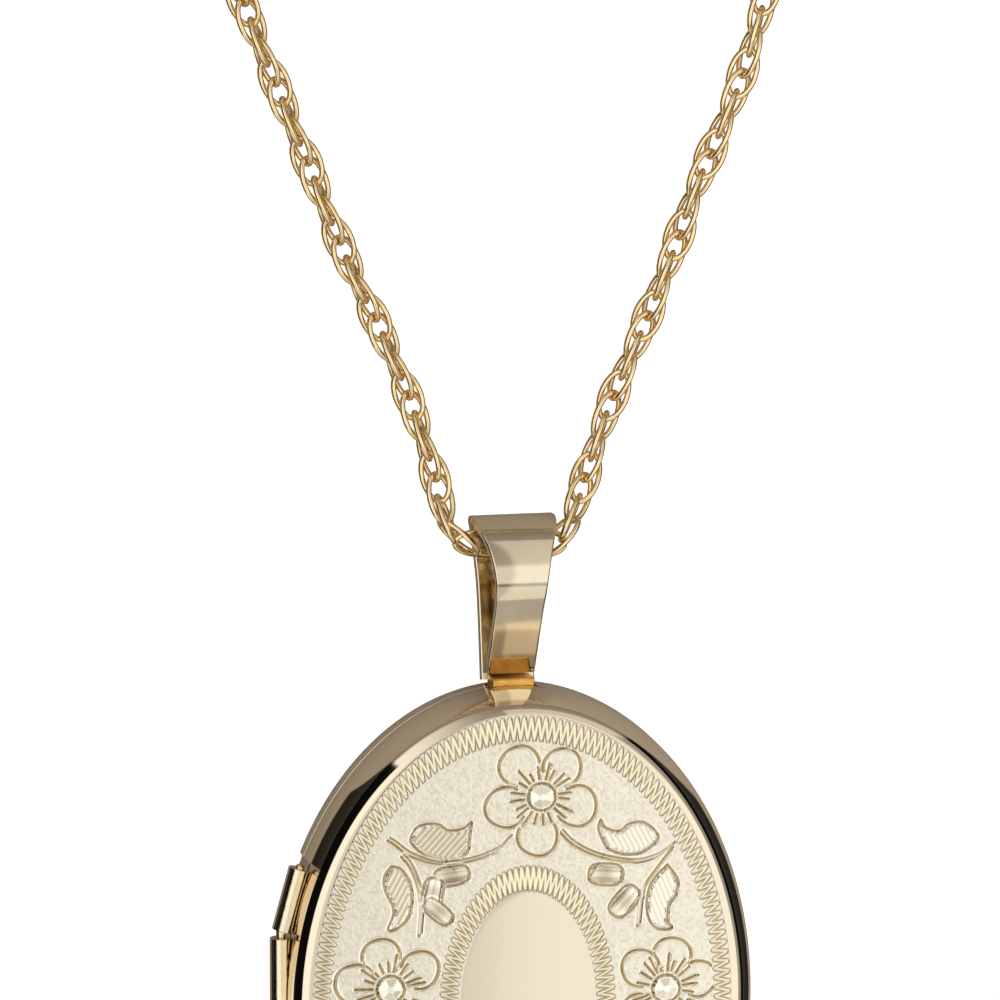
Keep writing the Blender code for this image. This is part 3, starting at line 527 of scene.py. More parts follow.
# A brighter lamp overhead to the left, and the dark skirt of the room near the floor.
LAMP_BEARING, LAMP_TOP, LAMP_LIGHT = (180.0, 62.0, 60.0), (82.0, 20.0), (1.22, 1.20, 1.18)
SKIRT_TOP, SKIRT_LIGHT = (9.0, 12.0), (0.26, 0.23, 0.20)
CARD_EDGE_BLUR = 0.04


def studio_world(context):
    """A white studio that the metal mirrors, darker to the head, with a black card at each side.

    The direction's Y picks a band, and its height and compass bearing lay the cards over it.
    """
    world = bpy.data.worlds.new("studio")
    context.scene.world = world
    world.use_nodes = True
    tree = world.node_tree
    way = add_node(tree, "ShaderNodeTexCoord").outputs["Generated"]
    split = add_node(tree, "ShaderNodeSeparateXYZ", links={"Vector": way})
    level_way = scale_by(tree, way, (1.0, 1.0, 0.0))

    def below(degrees, blur):
        """One below an elevation, nought above it."""
        return add_node(tree, "ShaderNodeMapRange",
                        {"From Min": math.sin(math.radians(degrees + blur / 2)),
                         "From Max": math.sin(math.radians(degrees - blur / 2))},
                        {"Value": split.outputs["Z"]}, interpolation_type="SMOOTHSTEP")

    place_in = add_node(tree, "ShaderNodeMapRange", {"From Min": -1.0}, {"Value": split.outputs["Y"]})
    bands = add_node(tree, "ShaderNodeValToRGB", links={"Fac": place_in.outputs["Result"]})
    stops = bands.color_ramp.elements
    for stop, (y, colour) in enumerate(STUDIO_BANDS):
        element = stops[stop] if stop < 2 else stops.new(1.0)
        element.position = (y + 1) / 2
        element.color = (*colour, 1.0)
    light = bands.outputs["Color"]
    glow = both(tree, below(*LAMP_TOP), facing(tree, level_way, *LAMP_BEARING))
    light = over(tree, light, LAMP_LIGHT, glow)
    light = over(tree, light, SKIRT_LIGHT, below(*SKIRT_TOP))
    for card, top in ((CARD_LEFT, CARD_LEFT_TOP), (CARD_RIGHT, CARD_RIGHT_TOP)):
        light = over(tree, light, BLACK_CARD, both(tree, below(*top), facing(tree, level_way, *card)))
    seen = add_node(tree, "ShaderNodeLightPath").outputs["Is Camera Ray"]
    shown = add_node(tree, "ShaderNodeMix", {"B": (1.0, 1.0, 1.0, 1.0)}, {"Factor": seen}, data_type="RGBA")
    tree.links.new(light, shown.inputs["A"])
    tree.links.new(shown.outputs["Result"], tree.nodes["Background"].inputs["Color"])


def floor_paper(colour, card_start):
    """Matt paper sweep that glows white to the camera; the metal mirrors it as dull paper.

    The black cards lie on it at both sides, from card_start times the case's own oval outwards.
    """
    material, tree, shader = new_material("matt_white_paper_sweep")
    spot = add_node(tree, "ShaderNodeTexCoord").outputs["Object"]
    oval = scale_by(tree, spot, (1 / HALF_WIDTH, 1 / HALF_HEIGHT, 0.0))
    reach = add_node(tree, "ShaderNodeVectorMath", links={0: oval}, operation="LENGTH")
    outside = add_node(tree, "ShaderNodeMapRange", {"From Min": card_start - CARD_EDGE_BLUR,
                                                    "From Max": card_start + CARD_EDGE_BLUR},
                       {"Value": reach.outputs["Value"]})
    level_way = scale_by(tree, spot, (1.0, 1.0, 0.0))
    base = colour
    for card in (CARD_LEFT, CARD_RIGHT):
        base = over(tree, base, BLACK_CARD, both(tree, outside, facing(tree, level_way, *card)))
    tree.links.new(base, shader.inputs["Base Color"])
    shader.inputs["Roughness"].default_value = 0.9
    seen = add_node(tree, "ShaderNodeLightPath").outputs["Is Camera Ray"]
    shader.inputs["Emission Color"].default_value = (1.0, 1.0, 1.0, 1.0)
    tree.links.new(seen, shader.inputs["Emission Strength"])
    return material


class OBJECT_OT_locket_stage(bpy.types.Operator):
    """Adds the camera, the pale floor and the studio light"""
    bl_idname = "object.locket_stage"
    bl_label = "Stage"

    def execute(self, context):
        stage = context.scene.locket_stage
        data = bpy.data.cameras.new("camera")
        camera = bpy.data.objects.new("camera", data)
        context.scene.collection.objects.link(camera)
        context.scene.camera = camera
        lean = Vector((-math.tan(stage.tilt_left), math.tan(stage.tilt_bail), 1.0)).normalized()
        target = Vector((stage.centre_x, stage.centre_y, COVER_LOW.z))
        right = Vector((0.0, 1.0, 0.0)).cross(lean).normalized()
        up = lean.cross(right)
        spot = target + lean * stage.distance
        camera.matrix_world = Matrix((
            (right.x, up.x, lean.x, spot.x), (right.y, up.y, lean.y, spot.y),
            (right.z, up.z, lean.z, spot.z), (0.0, 0.0, 0.0, 1.0)))
        data.sensor_width = 36.0
        data.lens = data.sensor_width * stage.distance / stage.view_width
        data.clip_start = stage.distance / 20
        data.clip_end = stage.floor_size * 2
        studio_world(context)
        context.scene.view_settings.view_transform = "Standard"
        half = stage.floor_size / 2
        mesh = bpy.data.meshes.new("floor")
        mesh.from_pydata([(-half, -half, 0.0), (half, -half, 0.0), (half, half, 0.0), (-half, half, 0.0)],
                         [], [(0, 1, 2, 3)])
        mesh.materials.append(floor_paper(stage.floor_colour, stage.card_start))
        floor = bpy.data.objects.new("floor", mesh)
        context.scene.collection.objects.link(floor)
        floor.location.z = -0.02 * MM
        softbox = bpy.data.lights.new("softbox", "AREA")
        softbox.shape = "RECTANGLE"
        softbox.size, softbox.size_y = stage.softbox_width, stage.softbox_length
        softbox.energy = stage.softbox_power
        lamp = bpy.data.objects.new("softbox", softbox)
        lamp.location = (stage.softbox_edge + stage.softbox_width / 2, 0.0, stage.softbox_height)
        lamp.visible_camera = False
        context.scene.collection.objects.link(lamp)
        return {"FINISHED"}


def coil_route(sizes):
    """Middle line of the coiled chain: down the lower layer inwards, up the upper layer outwards.

    The radius steps in by a pitch over each lower turn, then out again over each upper one; the
    height swings from the lower to the upper layer through half a turn at the inside.
    """
    centre = (COIL_LOW + COIL_HIGH) / 2
    lower, upper = sizes.turns, sizes.turns - 1 + 126.0 / 360
    turn = np.linspace(0.0, lower + upper, 30 * (lower + math.ceil(upper)))
    outer = sizes.inner_turn + (sizes.turns - 1) * sizes.coil_pitch
    inwards = np.clip(turn - 0.3, 0.0, sizes.turns - 1)
    outwards = np.clip(turn - lower - 0.3, 0.0, sizes.turns - 1)
    radius = outer - (inwards - outwards) * sizes.coil_pitch
    swing = np.clip((turn - lower + 0.25) / 0.5, 0.0, 1.0)
    height = COIL_LOW.z + sizes.rope / 2 + (3 * swing ** 2 - 2 * swing ** 3) * sizes.coil_pitch
    angle = turn * FULL_TURN
    return np.stack((centre.x + radius * np.cos(angle), centre.y + radius * np.sin(angle), height), -1)


def link_rows(path, sizes, first_roll, from_link, to_link, segments, sides):
    """Oval links threaded along a path, each rolled on from the one before.

    A link is a round wire bent to an ellipse: its long axis lies along the path and its short axis
    is the path's side direction turned about the path by the link's roll.
    """
    travelled = run_lengths(path)
    steps = sizes.link_length / 2 + np.arange(from_link, to_link) * sizes.pitch
    spots = np.stack([np.interp(steps, travelled, path[:, axis]) for axis in range(3)], -1)
    headings = directions(path)
    along = unit(np.stack([np.interp(steps, travelled, headings[:, axis]) for axis in range(3)], -1))
    side = unit(np.cross(along, (0.0, 0.0, 1.0)))
    lift = np.cross(side, along)
    roll = (first_roll + np.arange(from_link, to_link) * sizes.roll)[:, None]
    wide = np.cos(roll) * side + np.sin(roll) * lift
    thick = np.cross(along, wide)
    long_radius = (sizes.link_length - sizes.wire) / 2
    short_radius = (sizes.link_width - sizes.wire) / 2
    turn = np.arange(segments) * FULL_TURN / segments
    ring = np.stack((long_radius * np.cos(turn), short_radius * np.sin(turn)), -1)
    normal = unit(np.stack((np.cos(turn) / long_radius, np.sin(turn) / short_radius), -1))
    section = circle(sides, sizes.wire / 2)
    flat = ring[:, None, :] + normal[:, None, :] * section[None, :, 0:1]
    grids = (spots[:, None, None, :] + flat[None, ..., 0:1] * along[:, None, None, :]
             + flat[None, ..., 1:2] * wide[:, None, None, :]
             + section[None, None, :, 1:2] * thick[:, None, None, :])
    return [closed_grid(grid, True) for grid in grids]


def chain_strand(name, path, sizes, material, fine_links):
    """A strand of the chain: finely rounded links near the locket, plainer ones in the coil."""
    count = int((run_lengths(path)[-1] - sizes.link_length) / sizes.pitch) + 1
    fine = min(fine_links, count)
    bodies = link_rows(path, sizes, sizes.first_roll, 0, fine, 30, 10)
    bodies += link_rows(path, sizes, sizes.first_roll, fine, count, 14, 4)
    return solid(name, bodies, material, 60.0)


def ring_wire(name, centre, radius, wire_radius, upright, material):
    """A closed round ring of round wire, lying flat or standing in the plane of Y and Z."""
    turn = circle(96, radius)
    flat = np.zeros((len(turn), 3))
    flat[:, 1] = turn[:, 0]
    flat[:, 2 if upright else 0] = turn[:, 1]
    reference = (1.0, 0.0, 0.0) if upright else (0.0, 0.0, 1.0)
    return solid(name, [round_tube(flat + np.asarray(centre), wire_radius, 24, reference, True)], material, 60.0)


def box_middle(node):
    low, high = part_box(node)
    return (low + high) / 2


def clasp_place():
    """Centre of the spring ring: its box is round, so half way across and half way along."""
    low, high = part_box("clasp_ring")
    return np.array(((low.x + high.x) / 2, low.y + (high.x - low.x) / 2, (low.z + high.z) / 2))


def clasp_arc(centre, radius, start, sweep, steps):
    """Points of an arc of the spring ring, flat in its plane."""
    angles = start + sweep * np.linspace(0.0, 1.0, steps)
    return centre + np.stack((np.cos(angles), np.sin(angles), np.zeros(steps)), -1) * radius


def make_clasp_ring(sizes, material, centre):
    """A hollow tube bent to an open ring, its wall split along the trigger's slot.

    The section runs round the outside, over the slot's lips and back round the bore. Where the
    trigger slides the section opens on the outer side of the ring; elsewhere it opens by a hair.
    """
    sweep = FULL_TURN - sizes.mouth_sweep
    start = sizes.mouth_start + sizes.mouth_sweep
    slot_from = (sizes.trigger - start) % FULL_TURN
    slot_to = slot_from + sizes.travel
    spare = math.radians(5.0)
    edges = [slot_from - spare, slot_from - spare + 0.002, slot_to + spare - 0.002, slot_to + spare]
    angles = np.unique(np.concatenate((np.linspace(0.0, sweep, 160), edges)))
    angles = angles[angles >= 0]
    inside = (angles > edges[0]) & (angles < edges[3])
    half_slot = (sizes.stem_radius + 0.075 * MM) / sizes.tube_radius
    opening = np.where(inside, half_slot, 0.004)
    share = np.linspace(0.0, 1.0, 34)
    outer_angle = opening[:, None] + (FULL_TURN - 2 * opening[:, None]) * share[None]
    bore = sizes.tube_radius - sizes.tube_wall
    radii = np.concatenate((np.full(34, sizes.tube_radius), np.full(34, bore)))
    around = np.concatenate((outer_angle, outer_angle[:, ::-1]), 1)
    out = np.cos(around) * radii + sizes.ring_radius
    bearing = (start + angles)[:, None]
    grid = np.stack((centre[0] + out * np.cos(bearing), centre[1] + out * np.sin(bearing),
                     centre[2] + np.sin(around) * radii), -1)
    points, faces = strip_solid(grid)
    return solid("spring_ring", [(points, faces)], material, 40.0)


def strip_solid(grid):
    """Closes a grid whose columns wrap round a thin C-shaped section.

    Each end is closed by quads between its outer half and its mirrored inner half.
    """
    points, faces = closed_grid(grid)
    rows, columns = grid.shape[:2]
    half = columns // 2
    here = np.arange(half - 1)
    near = np.stack((here, columns - 1 - here, columns - 2 - here, here + 1), -1)
    far = near[:, ::-1] + (rows - 1) * columns
    return points[:rows * columns], [faces[0], near, far]


class OBJECT_OT_locket_chain(bpy.types.Operator):
    """Adds the rope chain: two strands from the bail, the coil and the tail to the clasp"""
    bl_idname = "object.locket_chain"
    bl_label = "Chain and clasp"

    def execute(self, context):
        sizes = context.scene.locket_chain
        clasp = context.scene.locket_clasp
        finish = context.scene.locket_finish
        wire = gold_metal("drawn_14_karat_gold_wire", finish.chain_gold, 0.13, grain=0.05)
        polished = gold_metal("polished_clasp_gold", finish.chain_gold, 0.12, grain=0.06)
        rings = self.make_clasp(clasp, polished, finish)
        left = smooth_curve(LEFT_ROUTE, 0.25 * MM)
        right_points = np.vstack((RIGHT_ROUTE, coil_route(sizes), TAIL_ROUTE))
        right = smooth_curve(right_points, 0.25 * MM)
        strands = (("left_strand", left, ("chain_left",), rings[:1]),
                   ("right_strand", right, ("chain_right", "chain_coil", "chain_tail"), rings[1:]))
        for name, path, nodes, fittings in strands:
            strand = chain_strand(name, path, sizes, wire, 48)
            place(strand, "case_back", "gold_chain", *nodes)
        return {"FINISHED"}

    def make_clasp(self, clasp, material, finish):
        """The catch ring on the left strand, and the spring ring with its parts on the other end."""
        pieces = []
        for node, upright in (("catch_ring", True), ("clasp_jump_ring", True), ("clasp_eyelet", False)):
            low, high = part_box(node)
            wire_radius = (high.x - low.x) / 2 if upright else (high.z - low.z) / 2
            radius = (high.y - low.y) / 2 - wire_radius
            ring = ring_wire(node + "_wire", box_middle(node), radius, wire_radius, upright, material)
            pieces.append(place(ring, "case_back", "gold_clasp", node))
        centre = clasp_place()
        ring = make_clasp_ring(clasp, material, centre)
        pieces.append(place(ring, "case_back", "gold_clasp", "clasp_ring"))
        pieces.append(self.make_tongue(clasp, material, centre))
        pieces.append(self.make_spring(clasp, finish, centre))
        return pieces

    def make_tongue(self, clasp, material, centre):
        """Curved rod with the trigger's stem and ball."""
        rod = clasp_arc(centre, clasp.ring_radius, clasp.tongue_start, clasp.tongue_sweep, 60)
        out = np.array((math.cos(clasp.trigger), math.sin(clasp.trigger), 0.0))
        root = centre + out * clasp.ring_radius
        tip = root + out * clasp.reach
        stem = np.linspace(root, tip, 6)
        rise = np.linspace(0.0, math.pi, 18)[1:-1]
        ball = lathe(np.stack((np.sin(rise), -np.cos(rise)), -1) * clasp.ball_radius, tip, out, 32)
        bodies = [round_tube(rod, clasp.tongue_radius, 28, (0, 0, 1)),
                  round_tube(stem, clasp.stem_radius, 20, (0, 0, 1)), ball]
        tongue = solid("spring_ring_tongue", bodies, material, 50.0)
        return place(tongue, "clasp_tongue", "gold_clasp", "clasp_tongue")

    def make_spring(self, clasp, finish, centre):
        """Helix along the bore: its circle turns while its centre walks round the ring."""
        steel = gold_metal("blued_spring_steel", finish.steel, 0.28, tone=0.2, grain=0.02)
        share = np.linspace(0.0, 1.0, clasp.spring_turns * 24)
        angle = clasp.spring_start + clasp.spring_sweep * share
        wind = FULL_TURN * clasp.spring_turns * share
        reach = clasp.tube_radius - clasp.tube_wall - 0.05 * MM - clasp.spring_wire
        out = clasp.ring_radius + reach * np.cos(wind)
        path = np.stack((out * np.cos(angle), out * np.sin(angle), reach * np.sin(wind)), -1) + centre
        spring = solid("tongue_spring", [round_tube(path, clasp.spring_wire, 8, (0, 0, 1))], steel, 60.0)
        return place(spring, "case_back", "spring_steel", "clasp_spring")


def oval_place(inset, angle, height, side):
    """A place on an oval whose two half axes are both shorter than the case's by the inset."""
    x = (HALF_WIDTH - inset) * np.cos(angle)
    y = (HALF_HEIGHT - inset) * np.sin(angle)
    z = PARTING_Z + side * height
    return np.stack(np.broadcast_arrays(x, y, z), -1)


def edge_x(y):
    """Left edge of the case at a height y above its middle: an ellipse."""
    return -HALF_WIDTH * math.sqrt(1.0 - (y / HALF_HEIGHT) ** 2)


def hinge_slope(hinge):
    """How far the end knuckles lean in for each unit up: the slope of the case's edge there."""
    start = MIDDLE_HIGH.y + hinge.end_gap
    return (edge_x(start + hinge.end_length) - edge_x(start)) / hinge.end_length


def hinge_line_x(y, hinge):
    """The pin's middle line: upright behind the middle knuckle, leaning in past it."""
    return HINGE_X + hinge_slope(hinge) * np.maximum(np.abs(y) - MIDDLE_HIGH.y, 0.0)


def knuckle_end_y(hinge):
    lean = math.atan(hinge_slope(hinge))
    return MIDDLE_HIGH.y + hinge.end_gap + hinge.end_length * math.cos(lean)


def rim_rows(case, steps):
    """The rounded rim as (inset, height) rows: an upright part, then a quarter of an ellipse."""
    turn = np.linspace(0.0, math.pi / 2, steps)
    inset = case.rim_inset * (1 - np.cos(turn))
    height = case.rim_upright + (HALF_DEPTH - case.rim_upright) * np.sin(turn)
    return np.stack((inset, height), -1)


def case_angles(case, hinge):
    """Angles round the case, with pairs of close columns where a recess or a notch begins."""
    recess = math.asin((knuckle_end_y(hinge) + case.recess_room) / HALF_HEIGHT)
    seat = math.asin((knuckle_end_y(hinge) + case.recess_room + case.seat_wall) / HALF_HEIGHT)
    notch = math.asin((FOOT_HIGH.x + case.notch_room) / HALF_WIDTH)
    steps = [math.pi - recess, math.pi + recess, math.pi - seat, math.pi + seat,
             math.pi / 2 - notch, math.pi / 2 + notch]
    hair = 0.0005
    near = [step + shift for step in steps for shift in (-hair, hair)]
    angles = np.sort(np.concatenate((np.linspace(0.0, FULL_TURN, 560, endpoint=False), near)))
    return angles, recess, seat, notch


def half_case(name, side, case, hinge, material):
    """One half of the case as a single closed surface, from its inner middle to its outer middle.

    Rows of (inset, height) run out over the floor, down the inner wall, across the parting plane,
    up the rim and in over the face. At the hinge the inset is at least that of the flat recess and
    of the round trough behind the knuckles; at the bail it reaches in to the foot's notch.
    """
    gap = COVER_LOW.z - PARTING_Z
    turn = np.linspace(math.pi / 2, 0.0, 14)
    wall, floor = case.shell_wall, case.floor_inset
    floor_height = HALF_DEPTH - case.face_wall
    inner = [(HALF_WIDTH * share, floor_height) for share in (0.999, 0.7, 0.4, 0.2)]
    inner += [(floor - (floor - wall) * math.cos(t),
               case.rim_upright + (floor_height - case.rim_upright) * math.sin(t)) for t in turn]
    inner += [(wall, gap + case.rim_edge), (wall + 0.2 * case.rim_edge, gap + 0.2 * case.rim_edge),
              (wall + case.rim_edge, gap)]
    rim = rim_rows(case, 46)
    trough_top = math.sqrt((KNUCKLE_RADIUS + case.knuckle_gap) ** 2
                           - (case.recess_inset - HALF_WIDTH - HINGE_X) ** 2)
    low_heights = np.linspace(gap + case.rim_edge, case.rim_upright, 8, endpoint=False)
    edge = [(case.rim_edge, gap), (0.3 * case.rim_edge, gap + 0.3 * case.rim_edge)]
    low = [(0.0, height) for height in low_heights]
    notch_height = (FOOT_HIGH.z - PARTING_Z if side > 0 else PARTING_Z - FOOT_LOW.z) + case.knuckle_gap
    special = np.array([trough_top, notch_height - 0.001 * MM, notch_height + 0.001 * MM])
    rise = np.arcsin(np.clip((special - case.rim_upright) / (HALF_DEPTH - case.rim_upright), 0.0, 1.0))
    extra = np.stack((case.rim_inset * (1 - np.cos(rise)), special), -1)
    upper = np.vstack((rim, extra))
    upper = upper[np.argsort(upper[:, 1], kind="stable")]
    if side > 0:
        lip = case.rim_inset + 0.05 * MM
        low_face = HALF_DEPTH - case.pocket
        face = [(lip, HALF_DEPTH), (lip + 0.012 * MM, HALF_DEPTH - 0.012 * MM),
                (lip + 0.014 * MM, low_face)]
    else:
        low_face = HALF_DEPTH
        face = [(case.rim_inset + 0.05 * MM, HALF_DEPTH)]
    face += [(HALF_WIDTH * share, low_face) for share in (0.2, 0.45, 0.75, 0.999)]
    outer = np.vstack((edge, low, upper, face))
    angles, recess, seat, notch = case_angles(case, hinge)

    left = np.cos(angles) < 0
    in_seat = left & (np.abs(np.sin(angles)) < math.sin(seat))
    seat_inset = HALF_WIDTH + HINGE_X + KNUCKLE_RADIUS + case.knuckle_gap + case.seat_wall
    inner = np.asarray(inner)
    inner_inset = np.broadcast_to(inner[:, 0:1], (len(inner), len(angles)))
    inner_inset = np.where(in_seat[None], np.maximum(inner_inset, seat_inset), inner_inset)

    share = np.clip((outer[:, 1] - case.rim_upright) / (HALF_DEPTH - case.rim_upright), 0.0, 1.0)
    bend = np.arcsin(share * math.sin(case.rim_top_turn))
    steep = case.rim_top_inset * (1 - np.cos(bend)) / (1 - math.cos(case.rim_top_turn))
    steep = np.where(outer[:, 0] > case.rim_inset, outer[:, 0] * case.rim_top_inset / case.rim_inset, steep)
    on_rim = (outer[:, 0] < case.rim_inset + 0.1 * MM) & (outer[:, 1] > case.rim_upright)
    change = np.where(on_rim, steep - outer[:, 0], 0.0)
    outer_inset = outer[:, 0:1] + change[:, None] * np.sin(angles)[None] ** 2
    in_recess = left & (np.abs(np.sin(angles)) < math.sin(recess))
    reach = KNUCKLE_RADIUS + case.knuckle_gap
    half_chord = np.sqrt(np.maximum(reach ** 2 - outer[:, 1] ** 2, 0.0))
    line_x = hinge_line_x((HALF_HEIGHT - 0.6 * MM) * np.sin(angles), hinge)
    lean = np.where(np.abs(line_x - HINGE_X) > 1e-9, math.cos(math.atan(hinge_slope(hinge))), 1.0)
    sideways = np.maximum(np.abs(np.cos(angles)), 0.2)
    trough = HALF_WIDTH + (line_x[None] + half_chord[:, None] / lean[None]) / sideways[None]
    trough = np.where(outer[:, 1:2] < reach, trough, 0.0)
    cut = np.maximum(case.recess_inset, trough)
    outer_inset = np.where(in_recess[None], np.maximum(outer_inset, cut), outer_inset)
    in_notch = np.abs(angles - math.pi / 2) < notch
    floor_y = FOOT_LOW.y - case.knuckle_gap
    notch_inset = HALF_HEIGHT - floor_y / np.maximum(np.sin(angles), 0.5)
    in_notch = in_notch[None] & (outer[:, 1:2] < notch_height)
    outer_inset = np.where(in_notch, np.maximum(outer_inset, notch_inset[None]), outer_inset)

    insets = np.vstack((inner_inset, outer_inset))
    heights = np.concatenate((inner[:, 1], outer[:, 1]))[:, None]
    grid = oval_place(insets, angles[None], heights, side)
    return solid(name, [closed_grid(grid)], material, 32.0)


def oval_band(rows, angles, side, closed):
    """A closed section of (inset, height) rows carried round the oval through the given angles."""
    grid = oval_place(rows[None, :, 0], angles[:, None], rows[None, :, 1], side)
    return closed_grid(grid, closed)


def oval_disc(rows, side, columns=256):
    """A flat oval piece: (inset, height) rows from the middle of one face to that of the other."""
    angles = np.linspace(0.0, FULL_TURN, columns, endpoint=False)
    return closed_grid(oval_place(rows[:, 0:1], angles[None], rows[:, 1:2], side))


def rounded_loop(corners, radius, steps=5):
    """A closed outline of (inset, height) corners, each rounded by an arc of the given radius."""
    corners = np.asarray(corners, float)
    before, after = np.roll(corners, 1, 0), np.roll(corners, -1, 0)
    start = corners + unit(before - corners) * radius
    end = corners + unit(after - corners) * radius
    t = np.linspace(0.0, 1.0, steps)[None, :, None]
    curve = (1 - t) ** 2 * start[:, None] + 2 * t * (1 - t) * corners[:, None] + t ** 2 * end[:, None]
    return curve.reshape(-1, 2)


class OBJECT_OT_locket_case(bpy.types.Operator):
    """Adds the polished back half, the front half and the catch band"""
    bl_idname = "object.locket_case"
    bl_label = "Case"

    def execute(self, context):
        case, hinge = context.scene.locket_case, context.scene.locket_hinge
        finish = context.scene.locket_finish
        gold = gold_metal("buffed_14_karat_gold_case", finish.case_gold, 0.055, tone=0.03, tone_size=6.0,
                          grain=0.08, grain_depth=0.0003, rough_spread=0.03)
        back = half_case("back_half", -1, case, hinge, gold)
        place(back, "case_back", "gold_case", "back_shell")
        front = half_case("front_half", 1, case, hinge, gold)
        place(front, "cover", "gold_case", "front_cover")
        outer = case.shell_wall + case.band_gap
        inner = outer + case.band_wall
        low, high = BAND_LOW.z - PARTING_Z, BAND_HIGH.z - PARTING_Z
        rows = rounded_loop([(outer, low), (inner, low), (inner, high), (outer, high)], 0.07 * MM)
        start = math.asin((knuckle_end_y(hinge) + case.recess_room + case.seat_wall + case.band_gap)
                          / (HALF_HEIGHT - outer))
        angles = np.linspace(-math.pi + start, math.pi - start, 300)
        band = solid("catch_band_spring", [oval_band(rows, angles, 1, False)], gold, 40.0)
        place(band, "case_back", "gold_case", "catch_band")
        return {"FINISHED"}


class OBJECT_OT_locket_hinge(bpy.types.Operator):
    """Adds the three knuckles and the pin"""
    bl_idname = "object.locket_hinge"
    bl_label = "Hinge"

    def execute(self, context):
        hinge = context.scene.locket_hinge
        finish = context.scene.locket_finish
        tube = gold_metal("drawn_gold_hinge_tube", finish.hinge_gold, 0.17, tone=0.10, tone_size=0.8,
                          grain=0.05, grain_depth=0.0025, grain_stretch=(1.0, 0.16, 1.0),
                          rough_spread=0.12)
        slope = hinge_slope(hinge)
        lean = np.array((slope, 1.0, 0.0)) / math.hypot(slope, 1.0)
        turn = np.array((HINGE_X, MIDDLE_HIGH.y, PARTING_Z))
        start = np.array((HINGE_X + slope * hinge.end_gap, MIDDLE_HIGH.y + hinge.end_gap, PARTING_Z))
        end = start + lean * hinge.end_length
        flip = np.array((1.0, -1.0, 1.0))
        spans = (("upper_knuckle", start, end, "case_back", "hinge_knuckle_upper"),
                 ("middle_knuckle", turn * flip, turn, "cover", "hinge_knuckle_middle"),
                 ("lower_knuckle", end * flip, start * flip, "case_back", "hinge_knuckle_lower"))
        bore = hinge.pin_radius + 0.05 * MM
        for name, low, high, body, node in spans:
            length = float(np.linalg.norm(high - low))
            section = rounded_loop([(bore, 0.0), (KNUCKLE_RADIUS, 0.0), (KNUCKLE_RADIUS, length),
                                    (bore, length)], hinge.edge, 4)
            knuckle = solid(name, [lathe(section, low, high - low, 64, True)], tube, 40.0)
            place(knuckle, body, "gold_hinge", node)
        path = smooth_curve(np.array([end * flip, start * flip, turn * flip, turn, start, end]), 0.15 * MM)
        pin = solid("hinge_wire", [round_tube(path, hinge.pin_radius, 24, (0, 0, 1))], tube, 60.0)
        place(pin, "case_back", "gold_hinge", "hinge_pin")
        return {"FINISHED"}


